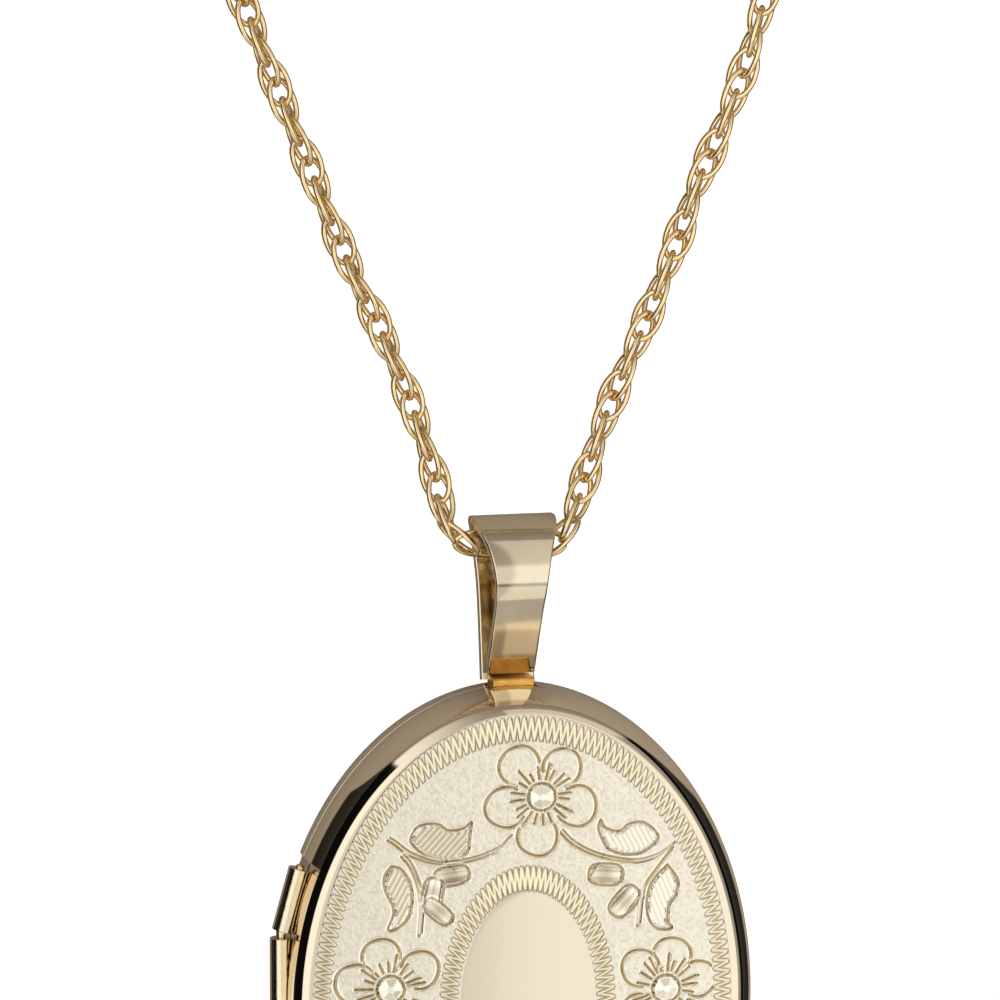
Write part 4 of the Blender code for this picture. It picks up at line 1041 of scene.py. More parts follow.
class OBJECT_OT_locket_inside(bpy.types.Operator):
    """Adds the frame, the clear window and the paper blank of each half"""
    bl_idname = "object.locket_inside"
    bl_label = "Frames and windows"

    def execute(self, context):
        sizes, case = context.scene.locket_inside, context.scene.locket_case
        finish = context.scene.locket_finish
        gilt = gold_metal("gilt_brass_frame", finish.frame_gilt, 0.20, tone=0.08, tone_size=2.0)
        card = self.paper(finish.paper)
        clear = self.window()
        floor = HALF_DEPTH - case.face_wall - sizes.gap
        outer = case.floor_inset + sizes.gap
        inner = outer + sizes.frame_width
        rebate = inner - sizes.frame_lip
        shelf = floor - 2 * sizes.sheet_depth - 2 * sizes.gap
        top = floor - sizes.frame_depth
        section = rounded_loop([(outer, top), (outer, floor), (rebate, floor), (rebate, shelf),
                                (inner, shelf), (inner, top + 0.35 * MM), (inner - 0.22 * MM, top)],
                               0.04 * MM)
        around = np.linspace(0.0, FULL_TURN, 320, endpoint=False)
        edge = rebate + sizes.gap
        for side, suffix, body in ((-1, "back", "case_back"), (1, "front", "cover")):
            frame_ring = solid("gilt_frame_" + suffix, [oval_band(section, around, side, True)], gilt)
            place(frame_ring, body, "gilt_frame", "photo_frame_" + suffix)
            for label, material, slot, node, high in (
                    ("paper_blank_", card, "paper_blank", "photo_blank_", floor),
                    ("clear_window_", clear, "clear_window", "window_", floor - sizes.sheet_depth - sizes.gap)):
                low = high - sizes.sheet_depth
                soft = 0.04 * MM
                rows = np.array([(HALF_WIDTH * 0.999, low), (HALF_WIDTH / 2, low), (edge + soft, low),
                                 (edge, low + soft), (edge, high - soft), (edge + soft, high),
                                 (HALF_WIDTH / 2, high), (HALF_WIDTH * 0.999, high)])
                sheet = solid(label + suffix, [oval_disc(rows, side)], material)
                place(sheet, body, slot, node + suffix)
        return {"FINISHED"}

    def paper(self, colour):
        """Off-white card: matt, with a faint fibre tooth 0.15 mm across."""
        material, tree, shader = new_material("off_white_photo_card")
        place_at = add_node(tree, "ShaderNodeTexCoord").outputs["Object"]
        fibre = add_node(tree, "ShaderNodeTexNoise", {"Scale": 1 / (0.15 * MM), "Detail": 5.0},
                         {"Vector": place_at})
        ramp = add_node(tree, "ShaderNodeValToRGB", links={"Fac": fibre.outputs["Fac"]})
        ramp.color_ramp.elements[0].color = (*[c * 0.90 for c in colour], 1.0)
        ramp.color_ramp.elements[1].color = (*colour, 1.0)
        tree.links.new(ramp.outputs["Color"], shader.inputs["Base Color"])
        shader.inputs["Roughness"].default_value = 0.85
        bump = add_node(tree, "ShaderNodeBump", {"Strength": 0.6, "Distance": 0.01 * MM},
                        {"Height": fibre.outputs["Fac"]})
        tree.links.new(bump.outputs["Normal"], shader.inputs["Normal"])
        return material

    def window(self):
        """Clear acetate sheet: glassy, with the faint haze of thin pressed plastic."""
        material, tree, shader = new_material("clear_acetate_window")
        shader.inputs["Base Color"].default_value = (0.96, 0.97, 0.96, 1.0)
        shader.inputs["Transmission Weight"].default_value = 1.0
        shader.inputs["IOR"].default_value = 1.48
        place_at = add_node(tree, "ShaderNodeTexCoord").outputs["Object"]
        haze = add_node(tree, "ShaderNodeTexNoise", {"Scale": 1 / (2.0 * MM)}, {"Vector": place_at})
        spread = add_node(tree, "ShaderNodeMapRange", {"To Min": 0.02, "To Max": 0.08},
                          {"Value": haze.outputs["Fac"]})
        tree.links.new(spread.outputs["Result"], shader.inputs["Roughness"])
        return material


def bail_line(bail):
    """Side view of the strap's middle surface as (y, z): a round fold and two tangent legs."""
    centre = np.array((HALF_HEIGHT + bail.loop_height, PARTING_Z + bail.loop_forward))
    front_end = np.array((HALF_HEIGHT + bail.end_height, PARTING_Z - bail.front_backset))
    back_end = np.array((HALF_HEIGHT, PARTING_Z - bail.back_backset))

    def touch(end, side):
        away = end - centre
        return math.atan2(away[1], away[0]) - side * math.acos(bail.loop_radius / np.linalg.norm(away))

    first = touch(front_end, 1) % FULL_TURN
    last = touch(back_end, -1) % FULL_TURN - FULL_TURN
    turn = np.linspace(first, last, 110)
    loop = centre + np.stack((np.cos(turn), np.sin(turn)), -1) * bail.loop_radius
    step = np.linspace(0.0, 1.0, 46)[:, None]
    front = front_end + (loop[0] - front_end) * step
    back = loop[-1] + (back_end - loop[-1]) * step
    return np.vstack((front[:-1], loop, back[1:]))


class OBJECT_OT_locket_bail(bpy.types.Operator):
    """Adds the folded strap and the soldered foot under it"""
    bl_idname = "object.locket_bail"
    bl_label = "Bail"

    def execute(self, context):
        bail, finish = context.scene.locket_bail, context.scene.locket_finish
        gold = gold_metal("rolled_gold_strap", finish.strap_gold, 0.10, tone=0.06, tone_size=1.5,
                          grain=0.06, grain_depth=0.0006, grain_stretch=(1.0, 0.25, 0.25))
        line = bail_line(bail)
        path = np.stack((np.zeros(len(line)), line[:, 0], line[:, 1]), -1)
        travelled = run_lengths(path)
        top = travelled[np.argmax(path[:, 1])]
        waist = np.where(travelled < top, bail.front_waist, bail.back_waist)
        half = (waist + (bail.top_width - waist) * np.exp(-((travelled - top) / bail.flare) ** 2)) / 2
        edge = bail.thickness * 0.32
        bend = np.linspace(0.0, math.pi / 2, 6)
        corner = np.stack((np.cos(bend), np.sin(bend)), -1) * edge
        sections = []
        for side, lift, quarter in ((1, 1, corner), (-1, 1, corner[::-1]), (-1, -1, corner),
                                    (1, -1, corner[::-1])):
            sideways = side * ((half - edge)[:, None] + quarter[None, :, 0])
            upwards = lift * (bail.thickness / 2 - edge + quarter[None, :, 1])
            sections.append(np.stack((sideways, np.broadcast_to(upwards, sideways.shape)), -1))
        along = directions(path)
        across = np.broadcast_to((1.0, 0.0, 0.0), path.shape)
        grid = carried(path, along, across, np.concatenate(sections, 1))
        strap = solid("folded_strap", [closed_grid(grid)], gold, 50.0)
        place(strap, "case_back", "gold_bail", "bail")
        solder = gold_metal("soldered_gold_seam", finish.foot_gold, 0.24, tone=0.18, tone_size=0.35,
                            grain=0.12, grain_depth=0.02, rough_spread=0.2)
        points, faces = rounded_box(FOOT_LOW, FOOT_HIGH, 0.07 * MM)
        rough = np.sin(points[:, 0] / (0.11 * MM)) * np.sin(points[:, 2] / (0.13 * MM) + 1.0)
        points[:, 1] += rough * 0.018 * MM * (points[:, 1] > (FOOT_LOW.y + FOOT_HIGH.y) / 2)
        foot = solid("bail_solder_foot", [(points, faces)], solder, 50.0)
        place(foot, "case_back", "gold_bail", "bail_foot")
        return {"FINISHED"}


# The graver's design in millimetres from the middle of the face: flowers, stems and
# leaves. The whole design then moves by an offset, the flowers at the two sides by their own.
DESIGN_OFFSET = (0.08, 0.25)
SIDE_FLOWER_OFFSET = (0.08, 0.33)
TOP_FLOWER = ((0.74, 8.53), 0.57, ((125, 1.62, 0.86), (55, 1.50, 0.80), (194, 1.57, 0.86),
                                   (343, 1.52, 0.86), (264, 1.66, 0.84)))
LEFT_FLOWER = ((-5.64, 0.58), 0.57, ((106, 1.42, 0.80), (32, 1.46, 0.80), (169, 1.52, 0.84),
                                     (236, 1.50, 0.82), (301, 1.48, 0.82)))
RIGHT_FLOWER = ((6.00, 0.10), 0.57, ((80, 1.38, 0.80), (140, 1.44, 0.78), (15, 1.42, 0.76),
                                     (222, 1.44, 0.80), (300, 1.46, 0.80)))
STEMS = (
    ((-0.64, 6.86), (-1.06, 6.44), (-1.76, 6.12), (-2.60, 5.92), (-3.56, 5.86), (-4.34, 6.06),
     (-4.98, 6.38), (-5.44, 6.76), (-5.74, 6.96)),
    ((-5.16, 6.24), (-4.86, 5.86), (-4.60, 5.28), (-4.42, 4.62), (-4.36, 4.00), (-4.44, 2.90)),
    ((1.54, 6.98), (2.00, 6.50), (2.82, 6.02), (3.76, 5.72), (4.64, 5.60), (5.44, 5.76),
     (6.12, 6.16), (6.46, 6.48)),
    ((6.18, 6.04), (5.64, 5.36), (5.10, 4.62), (4.90, 3.94), (4.78, 2.90)),
)
LEAVES = (
    (((-2.24, 7.58), (-2.56, 7.34), (-3.20, 7.28), (-3.58, 7.54), (-4.04, 7.60), (-4.48, 7.48),
      (-4.72, 7.14), (-4.78, 6.90), (-4.60, 6.64), (-4.22, 6.32), (-3.58, 6.06), (-2.94, 6.00),
      (-2.42, 6.32), (-2.32, 6.90)), 47.0),
    (((-5.58, 5.86), (-5.20, 5.74), (-4.88, 5.28), (-4.74, 4.70), (-4.78, 4.00), (-4.94, 3.60),
      (-5.26, 3.28), (-5.72, 3.18), (-5.52, 3.74), (-5.52, 4.18), (-5.78, 4.70), (-5.90, 5.16),
      (-5.84, 5.54)), 62.0),
    (((3.22, 7.44), (3.44, 7.10), (4.02, 6.94), (4.44, 7.24), (4.98, 7.28), (5.44, 6.98),
      (5.64, 6.58), (5.38, 6.24), (4.84, 5.98), (4.16, 5.98), (3.62, 6.18), (3.36, 6.50),
      (3.14, 7.10)), 118.0),
    (((6.06, 5.42), (6.46, 4.82), (6.40, 4.14), (6.12, 3.74), (6.06, 3.08), (6.22, 2.74),
      (5.66, 2.74), (5.32, 3.08), (5.18, 3.68), (5.26, 4.36), (5.52, 4.90)), 112.0),
)
BRIGHT_CUTS = (
    ((-3.06, 5.36), 0.66, 0.34, 8.0), ((-3.86, 4.68), 0.56, 0.36, 78.0), ((-3.62, 3.86), 0.62, 0.30, -42.0),
    ((3.44, 5.14), 0.64, 0.38, -4.0), ((4.24, 3.96), 0.66, 0.38, 48.0),
)


def line_distance(x, y, points):
    """Shortest distance from each place to a bent line: to its nearest straight piece."""
    best = np.full(x.shape, np.inf)
    for (ax, ay), (bx, by) in zip(points[:-1], points[1:]):
        dx, dy = bx - ax, by - ay
        share = np.clip(((x - ax) * dx + (y - ay) * dy) / (dx * dx + dy * dy), 0.0, 1.0)
        best = np.minimum(best, np.hypot(x - ax - share * dx, y - ay - share * dy))
    return best


def inside_outline(x, y, points):
    """Whether each place lies inside a closed outline: its edges cross a level ray an odd number of times."""
    inside = np.zeros(x.shape, bool)
    for (ax, ay), (bx, by) in zip(points, np.roll(points, -1, 0)):
        crosses = (ay > y) != (by > y)
        inside ^= crosses & (x < ax + (bx - ax) * (y - ay) / (by - ay if by != ay else 1.0))
    return inside


def graver_line(distance, width, depth):
    """A V-shaped cut with a burr beside it: depth falls off straight to the width, then a low lip."""
    groove = -depth * np.clip(1.0 - distance / width, 0.0, 1.0)
    lip = 0.42 * depth * np.clip(1.0 - np.abs(distance - 1.45 * width) / (0.62 * width), 0.0, 1.0)
    return groove + lip


# Tones run from nought, the groove's painted shade, through a half, the satin ground's own colour, to one, the
# lip's painted highlight.
GROUND_TONE = 0.5
GRAIN_TONE = 0.12
# Painted shade: the left leaves are coloured darker and the right ones lighter, following how the light falls
# across the face.
PAINTED_SHADE_LEFT_LEAF_TONE = 0.24   # the leaves on the left are coloured darker than those on the right
PAINTED_LIGHT_RIGHT_LEAF_TONE = 0.52
# Painted highlight: the flowers' bosses are coloured lighter than the ground.
BOSS_PAINTED_HIGHLIGHT_TONE = 0.72
# Painted highlight and shade: the zigzag's cut line is coloured light and its sides dark, the other way round
# from its groove.
LOOP_PAINTED_HIGHLIGHT_TONE = -0.9        # a zigzag's line is a groove, but is coloured light and its sides dark
FLOWER_SEED = 11


def cut_painted_shading(share):
    """Painted shade and highlight of a cut by its distance over its width: painted shade in the groove, painted
    highlight on the lip beside it.
    """
    groove = -0.5 * np.clip(1.3 - 1.6 * share, 0.0, 1.0)
    return groove + 0.5 * np.clip(1.5 - np.abs(share - 1.45) / 0.4, 0.0, 1.0)


def cloud(x, y, spacing, seed):
    """Smooth random heights between -1 and 1: seeded values on a square grid, blended by cubic steps."""
    values = np.random.default_rng(seed).uniform(-1.0, 1.0, (512, 512))
    u, v = x / spacing + 200.0, y / spacing + 200.0
    left, low = np.floor(u).astype(int), np.floor(v).astype(int)
    s, t = u - left, v - low
    s, t = s * s * (3 - 2 * s), t * t * (3 - 2 * t)
    a, b = values[left % 512, low % 512], values[(left + 1) % 512, low % 512]
    c, d = values[left % 512, (low + 1) % 512], values[(left + 1) % 512, (low + 1) % 512]
    return (a * (1 - s) + b * s) * (1 - t) + (c * (1 - s) + d * s) * t


def moved(points, offset):
    """Points shifted by an offset, to a hundredth of a millimetre."""
    return np.round(np.asarray(points, float) + offset, 2)


def mirror_low(points):
    return np.asarray(points, float) * (1.0, -1.0)


class Relief:
    """Heights of the engraved ground at given places, in metres, how brightly each is cut, and its tone with the
    painted shade and highlight of the cuts.
    """

    def __init__(self, x, y, sizes):
        self.x, self.y, self.sizes = x, y, sizes
        grain = cloud(x, y, sizes.grain, 3) + 0.6 * cloud(x, y, sizes.grain * 0.55, 4)
        self.height = sizes.grain_depth * grain
        self.bright = np.zeros(x.shape)
        self.tone = GROUND_TONE + GRAIN_TONE * np.clip(grain, -1.0, 1.0)

    def near(self, points, margin):
        """Indices of the places inside the points' own box, widened by a margin."""
        low, high = points.min(0) - margin, points.max(0) + margin
        return np.nonzero((self.x > low[0]) & (self.x < high[0]) & (self.y > low[1])
                          & (self.y < high[1]))[0]

    def line(self, points, width=1.0, depth=1.0):
        """One cut of the graver along a bent line; overlapping cuts keep the deeper one."""
        width, depth = width * self.sizes.cut_width, depth * self.sizes.cut_depth
        spots = self.near(points, 2.2 * width)
        distance = line_distance(self.x[spots], self.y[spots], points)
        cut = graver_line(distance, width, depth)
        mask = np.clip(2.2 - distance / width, 0.0, 1.0)
        self.height[spots] = self.height[spots] * (1 - mask) + np.where(
            np.abs(cut) > np.abs(self.height[spots]), cut, self.height[spots]) * mask
        self.bright[spots] = np.maximum(self.bright[spots], mask)
        # Painted shade in the groove and painted highlight on its lip, laid over the ground's tone.
        tone, ground = GROUND_TONE + cut_painted_shading(distance / width), self.tone[spots]
        stronger = np.abs(tone - GROUND_TONE) > np.abs(ground - GROUND_TONE)
        self.tone[spots] = np.where(stronger, tone, ground * (1 - mask) + tone * mask)

    def curve(self, points, width=1.0, depth=1.0):
        self.line(smooth_curve(np.asarray(points, float), 0.12 * MM), width, depth)

    def flower(self, centre, radius, petals, seed):
        """Round petals, each an open arc with a few short cuts at its root, round a faceted boss."""
        random = np.random.default_rng(seed)
        centre = np.asarray(centre, float)
        for bearing, reach, size in petals:
            out = math.radians(bearing)
            middle = centre + np.array((math.cos(out), math.sin(out))) * reach * MM
            turn = np.linspace(-2.35, 2.35, 34) + out
            wobble = 1.0 + 0.03 * np.sin(3 * turn + seed)
            arc = middle + np.stack((np.cos(turn), np.sin(turn)), -1) * size * MM * wobble[:, None]
            self.line(arc, 1.05, 1.1)
            for swing in (-0.44, -0.16, 0.14, 0.42):
                aim = out + swing + random.uniform(-0.06, 0.06)
                start = radius * MM * 1.02
                stop = start + random.uniform(0.48, 0.92) * MM
                spoke = np.array((math.cos(aim), math.sin(aim)))
                self.line(centre + spoke * np.array((start, stop))[:, None], 0.95, 1.25)
        spots = self.near(centre[None], radius * 1.25 * MM)
        dx, dy = self.x[spots] - centre[0], self.y[spots] - centre[1]
        far = np.hypot(dx, dy) / (radius * MM)
        facets = [0.30 - 0.34 * (dx * math.cos(t) + dy * math.sin(t)) / (radius * MM)
                  for t in random.uniform(0, 1) + np.arange(6) * FULL_TURN / 6]
        boss = np.minimum(np.min(facets, 0), 0.22) * radius * MM
        on = far < 1.0
        self.height[spots] = np.where(on, boss - 0.02 * MM, self.height[spots])
        self.bright[spots] = np.where(on, 1.0, self.bright[spots])
        # Painted highlight: the boss is coloured lighter than the ground.
        self.tone[spots] = np.where(on, BOSS_PAINTED_HIGHLIGHT_TONE, self.tone[spots])
        turn = np.linspace(0.0, FULL_TURN, 40)
        self.line(centre + np.stack((np.cos(turn), np.sin(turn)), -1) * radius * 1.02 * MM, 0.9, 1.0)

    def leaf(self, points, degrees):
        """A leaf outline filled with slanted parallel cuts."""
        points = np.asarray(points, float) * MM
        outline = smooth_curve(np.vstack((points, points[:1])), 0.12 * MM)
        spots = self.near(outline, 0.1 * MM)
        x, y = self.x[spots], self.y[spots]
        inside = inside_outline(x, y, outline[:-1])
        slant = math.radians(degrees)
        across = (y * math.cos(slant) - x * math.sin(slant)) / (0.205 * MM)
        saw = np.abs((across % 1.0) - 0.5) * 2
        hatch = -0.030 * MM + 0.030 * MM * (1 - saw) ** 1.5
        self.height[spots] = np.where(inside, hatch, self.height[spots])
        self.bright[spots] = np.where(inside, 0.9, self.bright[spots])
        # Painted shade: leaves left of the middle get the darker tone, those on the right the lighter one.
        ground = PAINTED_SHADE_LEFT_LEAF_TONE if points[:, 0].mean() < 0 else PAINTED_LIGHT_RIGHT_LEAF_TONE
        # Painted highlight on the hatch's ridges and painted shade between them.
        self.tone[spots] = np.where(inside, ground + 0.42 * (1 - saw) ** 2 - 0.12 * saw, self.tone[spots])
        self.line(outline, 1.0, 1.0)

    def bright_cut(self, centre, long_half, short_half, degrees):
        """A scooped, mirror-bright cut: a shallow round trough inside a rounded outline."""
        slant = math.radians(degrees)
        dx, dy = self.x - centre[0] * MM, self.y - centre[1] * MM
        along = (dx * math.cos(slant) + dy * math.sin(slant)) / (long_half * MM)
        across = (dy * math.cos(slant) - dx * math.sin(slant)) / (short_half * MM)
        inside = np.abs(along) ** 3 + np.abs(across) ** 3 < 1.0
        scoop = -0.115 * MM * (1 - across ** 2) + 0.03 * MM * along
        self.height = np.where(inside, scoop, self.height)
        self.bright = np.where(inside, 1.0, self.bright)
        # Painted shade in the middle of the scoop and painted highlight towards its two ends.
        self.tone = np.where(inside, np.clip(0.25 + 0.75 * along ** 2, 0.0, 1.0), self.tone)
        turn = np.linspace(0.0, FULL_TURN, 40)
        ring = np.stack((np.sign(np.cos(turn)) * np.abs(np.cos(turn)) ** (2 / 3) * long_half * 1.12,
                         np.sign(np.sin(turn)) * np.abs(np.sin(turn)) ** (2 / 3) * short_half * 1.2), -1)
        spin = np.array(((math.cos(slant), math.sin(slant)), (-math.sin(slant), math.cos(slant))))
        self.line((ring @ spin + np.asarray(centre)) * MM, 0.9, 0.9)

    def design(self):
        """The whole design: flowers at the top, sides and bottom; the lower sprays mirror the upper."""
        flip = tuple((-bearing, reach, size) for bearing, reach, size in TOP_FLOWER[2])
        top_centre = moved(TOP_FLOWER[0], DESIGN_OFFSET)
        for leaf, degrees in LEAVES:
            leaf = moved(leaf, DESIGN_OFFSET)
            self.leaf(leaf, degrees)
            self.leaf(mirror_low(leaf), -degrees)
        for stem in STEMS:
            stem = moved(stem, DESIGN_OFFSET)
            for points in (stem, mirror_low(stem)):
                self.curve(points * MM, 1.0, 1.1)
                self.curve((points + (0.10, 0.12)) * MM, 0.8, 0.7)
        for centre, long_half, short_half, degrees in BRIGHT_CUTS:
            x, y = moved(centre, DESIGN_OFFSET)
            self.bright_cut((x, y), long_half, short_half, degrees)
            self.bright_cut((x, -y), long_half, short_half, -degrees)
        flowers = [(top_centre, *TOP_FLOWER[1:])]
        flowers += [(moved(centre, SIDE_FLOWER_OFFSET), radius, petals)
                    for centre, radius, petals in (LEFT_FLOWER, RIGHT_FLOWER)]
        flowers.append((mirror_low(top_centre), TOP_FLOWER[1], flip))
        for seed, (centre, radius, petals) in enumerate(flowers, FLOWER_SEED):
            self.flower(centre * MM, radius, petals, seed)


def engraved_gold(colour, groove, ridge, name, satin, mirror):
    """Gold struck and sandblasted, then cut with a bright graver: matt ground, shiny cuts.

    The bright_cut attribute polishes the cuts, and the cuts' tone attribute paints shade in the grooves and
    highlights on the lips, from the groove colour to the ridge colour.
    """
    material = gold_metal(name, colour, satin, grain=0.05, grain_depth=0.004, rough_spread=0.06)
    tree = material.node_tree
    shader = tree.nodes["Principled BSDF"]
    rough = shader.inputs["Roughness"].links[0].from_socket
    cut = add_node(tree, "ShaderNodeAttribute", attribute_name="bright_cut")
    mix = add_node(tree, "ShaderNodeMix", {"B": mirror}, {"Factor": cut.outputs["Fac"], "A": rough})
    tree.links.new(mix.outputs["Result"], shader.inputs["Roughness"])
    # Painted shade and highlight: the cuts' tone runs the colour from the groove's dark through the satin ground
    # to the lip's light.
    tone = add_node(tree, "ShaderNodeAttribute", attribute_name="cut_painted_shading")
    painted_shading_ramp = add_node(tree, "ShaderNodeValToRGB", links={"Fac": tone.outputs["Fac"]})
    stops = painted_shading_ramp.color_ramp.elements
    stops[0].color, stops[1].color = (*groove, 1.0), (*ridge, 1.0)
    stops.new(0.5).color = (*colour, 1.0)
    tree.links.new(painted_shading_ramp.outputs["Color"], shader.inputs["Base Color"])
    return material


def plate_grid(outer, inner, rows, top, bottom):
    """A thin closed layer between two outlines: its top in even rows, straight sides, a flat back."""
    share = np.linspace(0.0, 1.0, rows)[None, :, None]
    flat = outer[:, None] * (1 - share) + inner[:, None] * share
    upper = np.concatenate((flat, np.full(flat.shape[:2] + (1,), top)), -1)
    lower = np.concatenate((flat[:, ::-1][:, [0, rows // 2, -1]],
                            np.full((len(outer), 3, 1), bottom)), -1)
    return np.concatenate((upper, lower), 1)


def ellipse(centre_x, half_width, half_height, angles):
    return np.stack((centre_x + half_width * np.cos(angles), half_height * np.sin(angles)), -1)


class OBJECT_OT_locket_engraving(bpy.types.Operator):
    """Adds the engraved front: zigzag border, flower field, inner zigzag and the plain oval"""
    bl_idname = "object.locket_engraving"
    bl_label = "Engraving"

    def execute(self, context):
        sizes, finish = context.scene.locket_engraving, context.scene.locket_finish
        self.top = COVER_HIGH.z
        self.bottom = self.top - sizes.plate
        self.gold = engraved_gold(finish.satin_gold, finish.groove_painted_shade_gold, finish.ridge_painted_highlight_gold,
                                  "sandblasted_engraved_gold", 0.33, 0.13)
        bands = [(0.0, HALF_WIDTH - sizes.border_inset, HALF_HEIGHT - sizes.border_top_inset),
                 (0.0, HALF_WIDTH - sizes.border_inset - sizes.border_width,
                  HALF_HEIGHT - sizes.border_top_inset - sizes.border_top_width),
                 (sizes.centre_x, sizes.centre_half_width + sizes.ring_width,
                  sizes.centre_half_height + sizes.ring_top_width),
                 (sizes.centre_x, sizes.centre_half_width, sizes.centre_half_height)]
        self.zigzag("border_zigzag", bands[0], bands[1], sizes.border_loops, 20, 24, sizes)
        first, last = math.radians(-24.0), math.radians(204.0)
        upper, lower = np.linspace(first, last, 4), np.linspace(last, first + FULL_TURN, 3)
        spans = [("upper_", 460, 180, part) for part in zip(upper[:-1], upper[1:])]
        spans += [("lower_", 360, 120, part) for part in zip(lower[:-1], lower[1:])]
        for number, (label, columns, rows, (begin, end)) in enumerate(spans):
            self.field("flower_field_" + label + str(number + 1), bands[1], bands[2],
                       np.linspace(begin, end, columns), rows, sizes)
        self.zigzag("inner_zigzag", bands[2], bands[3], sizes.ring_loops, 20, 25, sizes)
        self.plain_oval(bands[3], finish)
        return {"FINISHED"}

    def finish_piece(self, piece):
        place(piece, "cover", "gold_case", "front_cover")

    def zigzag(self, name, outer, inner, loops, columns, rows, sizes):
        """One graver's line that runs out and in between two ovals, the same for every loop.

        In the square of one loop the line's place is a triangle wave; its distance is measured
        in real length, with the loop's own pitch at that angle.
        """
        angles = np.arange(loops * columns) * FULL_TURN / (loops * columns)
        outline, inline = ellipse(*outer, angles), ellipse(*inner, angles)
        grid = plate_grid(outline, inline, rows, self.top, self.bottom)
        share = np.linspace(0.0, 1.0, rows)[None]
        phase = (np.arange(len(angles)) % columns / columns)[:, None]
        middle = (outline + inline) / 2
        pitch = np.linalg.norm(np.roll(middle, -1, 0) - middle, axis=1)[:, None] * columns
        depth = np.linalg.norm(outline - inline, axis=1)[:, None]
        best = np.full((len(angles), rows), np.inf)
        x, y = phase * pitch, share * depth
        for shift in (-1.0, 0.0, 1.0):
            for begin, finish_at in ((0.0, 0.5), (1.0, 0.5)):
                ax, bx = (begin + shift) * pitch, (finish_at + shift) * pitch
                ay, by = 0.94 * depth, 0.07 * depth
                along = np.clip(((x - ax) * (bx - ax) + (y - ay) * (by - ay))
                                / ((bx - ax) ** 2 + (by - ay) ** 2), 0.0, 1.0)
                best = np.minimum(best, np.hypot(x - ax - along * (bx - ax), y - ay - along * (by - ay)))
        width = 0.74 * sizes.cut_width
        cut = graver_line(best, width, sizes.cut_depth)
        edge = np.clip(np.minimum(share, 1 - share) * rows / 2.0, 0.0, 1.0)
        grid[:, :rows, 2] += cut * edge
        bright = np.zeros(grid.shape[:2])
        bright[:, :rows] = np.clip(2.2 - best / width, 0.0, 1.0) * 0.85
        # Painted highlight on the zigzag's line and painted shade beside it.
        tone = np.full(grid.shape[:2], GROUND_TONE)
        tone[:, :rows] = GROUND_TONE + LOOP_PAINTED_HIGHLIGHT_TONE * cut_painted_shading(best / width) * edge
        piece = solid(name, [closed_grid(grid, True)], self.gold, 60.0,
                      {"bright_cut": bright.ravel(), "cut_painted_shading": tone.ravel()})
        self.finish_piece(piece)

    def field(self, name, outer, inner, angles, rows, sizes):
        """The satin ground between the two zigzags, with the flowers cut into it."""
        columns = len(angles)
        grid = plate_grid(ellipse(*outer, angles), ellipse(*inner, angles), rows, self.top, self.bottom)
        relief = Relief(grid[:, :rows, 0].ravel(), grid[:, :rows, 1].ravel(), sizes)
        relief.design()
        share = np.linspace(0.0, 1.0, rows)[None]
        edge = np.clip(np.minimum(share, 1 - share) * rows / 2.0, 0.0, 1.0)
        grid[:, :rows, 2] += relief.height.reshape(columns, rows) * edge
        bright = np.zeros(grid.shape[:2])
        bright[:, :rows] = relief.bright.reshape(columns, rows)
        # The tone carries the painted shade and highlight of the cuts, with the ground's grain.
        tone = np.full(grid.shape[:2], GROUND_TONE)
        tone[:, :rows] = relief.tone.reshape(columns, rows)
        ends = (0.0, 0.0)
        piece = solid(name, [closed_grid(grid)], self.gold, 60.0,
                      {"bright_cut": np.concatenate((bright.ravel(), ends)),
                       "cut_painted_shading": np.concatenate((tone.ravel(), ends))})
        self.finish_piece(piece)

    def plain_oval(self, outline, finish):
        """The burnished oval in the middle, a shallow dome for initials."""
        burnished = gold_metal("burnished_gold_oval", finish.centre_gold, 0.20, tone=0.02, tone_size=5.0,
                               grain=0.04, grain_depth=0.0006)
        centre_x, half_width, half_height = outline
        share = np.concatenate(([0.001], np.linspace(0.05, 0.985, 26), [1.0]))
        lift = 0.05 * MM * (1 - share ** 2) + 0.004 * MM
        lift[-1] = -0.01 * MM
        share = np.concatenate((share, [1.0, 0.001]))
        lift = np.concatenate((lift, [self.bottom - self.top] * 2))
        angles = np.linspace(0.0, FULL_TURN, 240, endpoint=False)
        flat = np.stack([ellipse(centre_x, 0, 0, angles) + (ellipse(0.0, half_width, half_height, angles))
                         * part for part in share])
        grid = np.concatenate((flat, np.broadcast_to((self.top + lift)[:, None, None],
                                                     flat.shape[:2] + (1,))), -1)
        self.finish_piece(solid("plain_oval", [closed_grid(grid)], burnished, 40.0))


class VIEW3D_PT_locket(bpy.types.Panel):
    """Lists the locket's builders"""
    bl_idname = "VIEW3D_PT_locket"
    bl_label = "Oval Locket"
    bl_space_type = "VIEW_3D"
    bl_region_type = "UI"
    bl_category = "Locket"

    def draw(self, context):
        for builder in BUILDERS:
            self.layout.operator(builder.bl_idname)


GROUPS = {"locket_stage": LocketStageSettings, "locket_case": LocketCaseSizes,
          "locket_hinge": LocketHingeSizes, "locket_engraving": LocketEngravingSizes,
          "locket_inside": LocketInsideSizes, "locket_bail": LocketBailSizes,
          "locket_chain": LocketChainSizes, "locket_clasp": LocketClaspSizes,
          "locket_finish": LocketFinishes}
BUILDERS = (OBJECT_OT_locket_stage, OBJECT_OT_locket_chain, OBJECT_OT_locket_case,
            OBJECT_OT_locket_engraving, OBJECT_OT_locket_hinge, OBJECT_OT_locket_inside,
            OBJECT_OT_locket_bail)


def register():
    for group in (*GROUPS.values(), *BUILDERS, VIEW3D_PT_locket):
        bpy.utils.register_class(group)
    for name, group in GROUPS.items():
        setattr(bpy.types.Scene, name, PointerProperty(type=group))


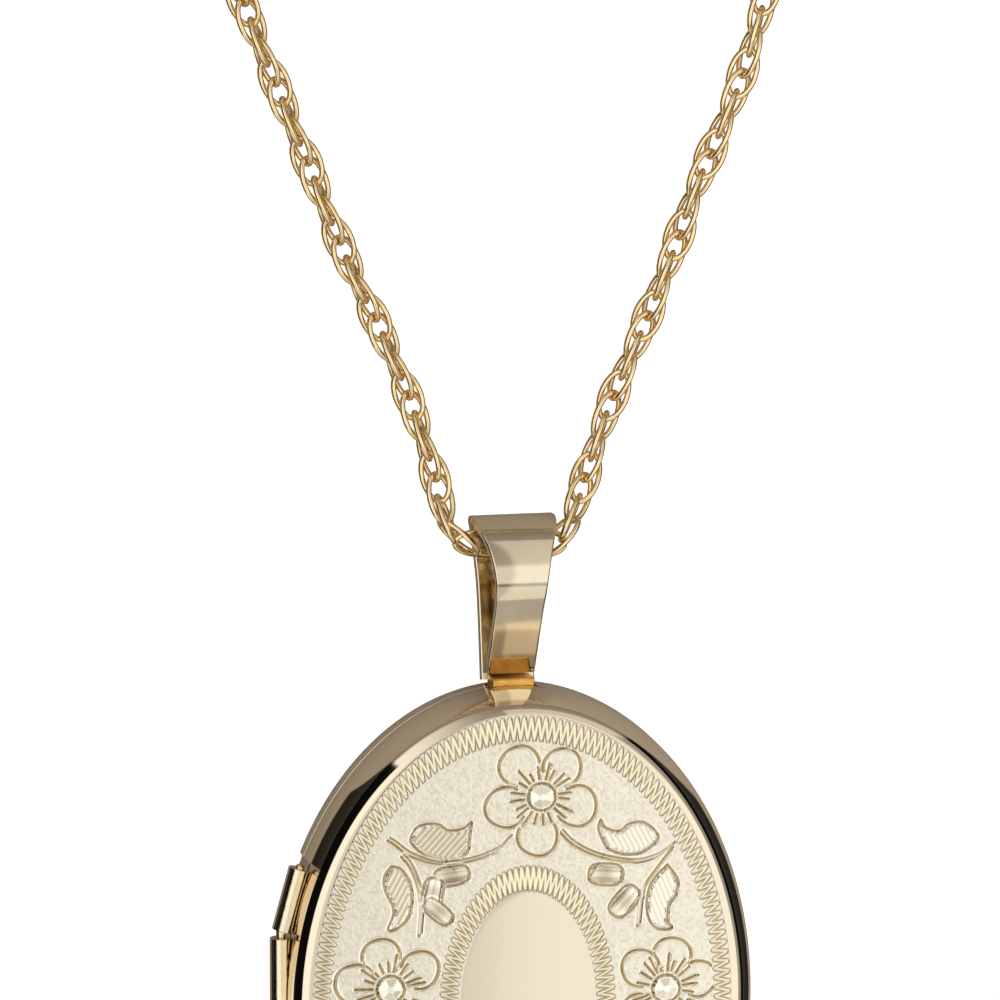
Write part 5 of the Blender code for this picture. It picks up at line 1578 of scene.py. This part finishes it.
def unregister():
    for name in GROUPS:
        delattr(bpy.types.Scene, name)
    for group in (VIEW3D_PT_locket, *reversed(BUILDERS), *reversed(GROUPS.values())):
        bpy.utils.unregister_class(group)


def main():
    register()
    bpy.ops.object.locket_stage()
    bpy.ops.object.locket_chain()
    bpy.ops.object.locket_case()
    bpy.ops.object.locket_engraving()
    bpy.ops.object.locket_hinge()
    bpy.ops.object.locket_inside()
    bpy.ops.object.locket_bail()


if __name__ == "__main__":
    main()
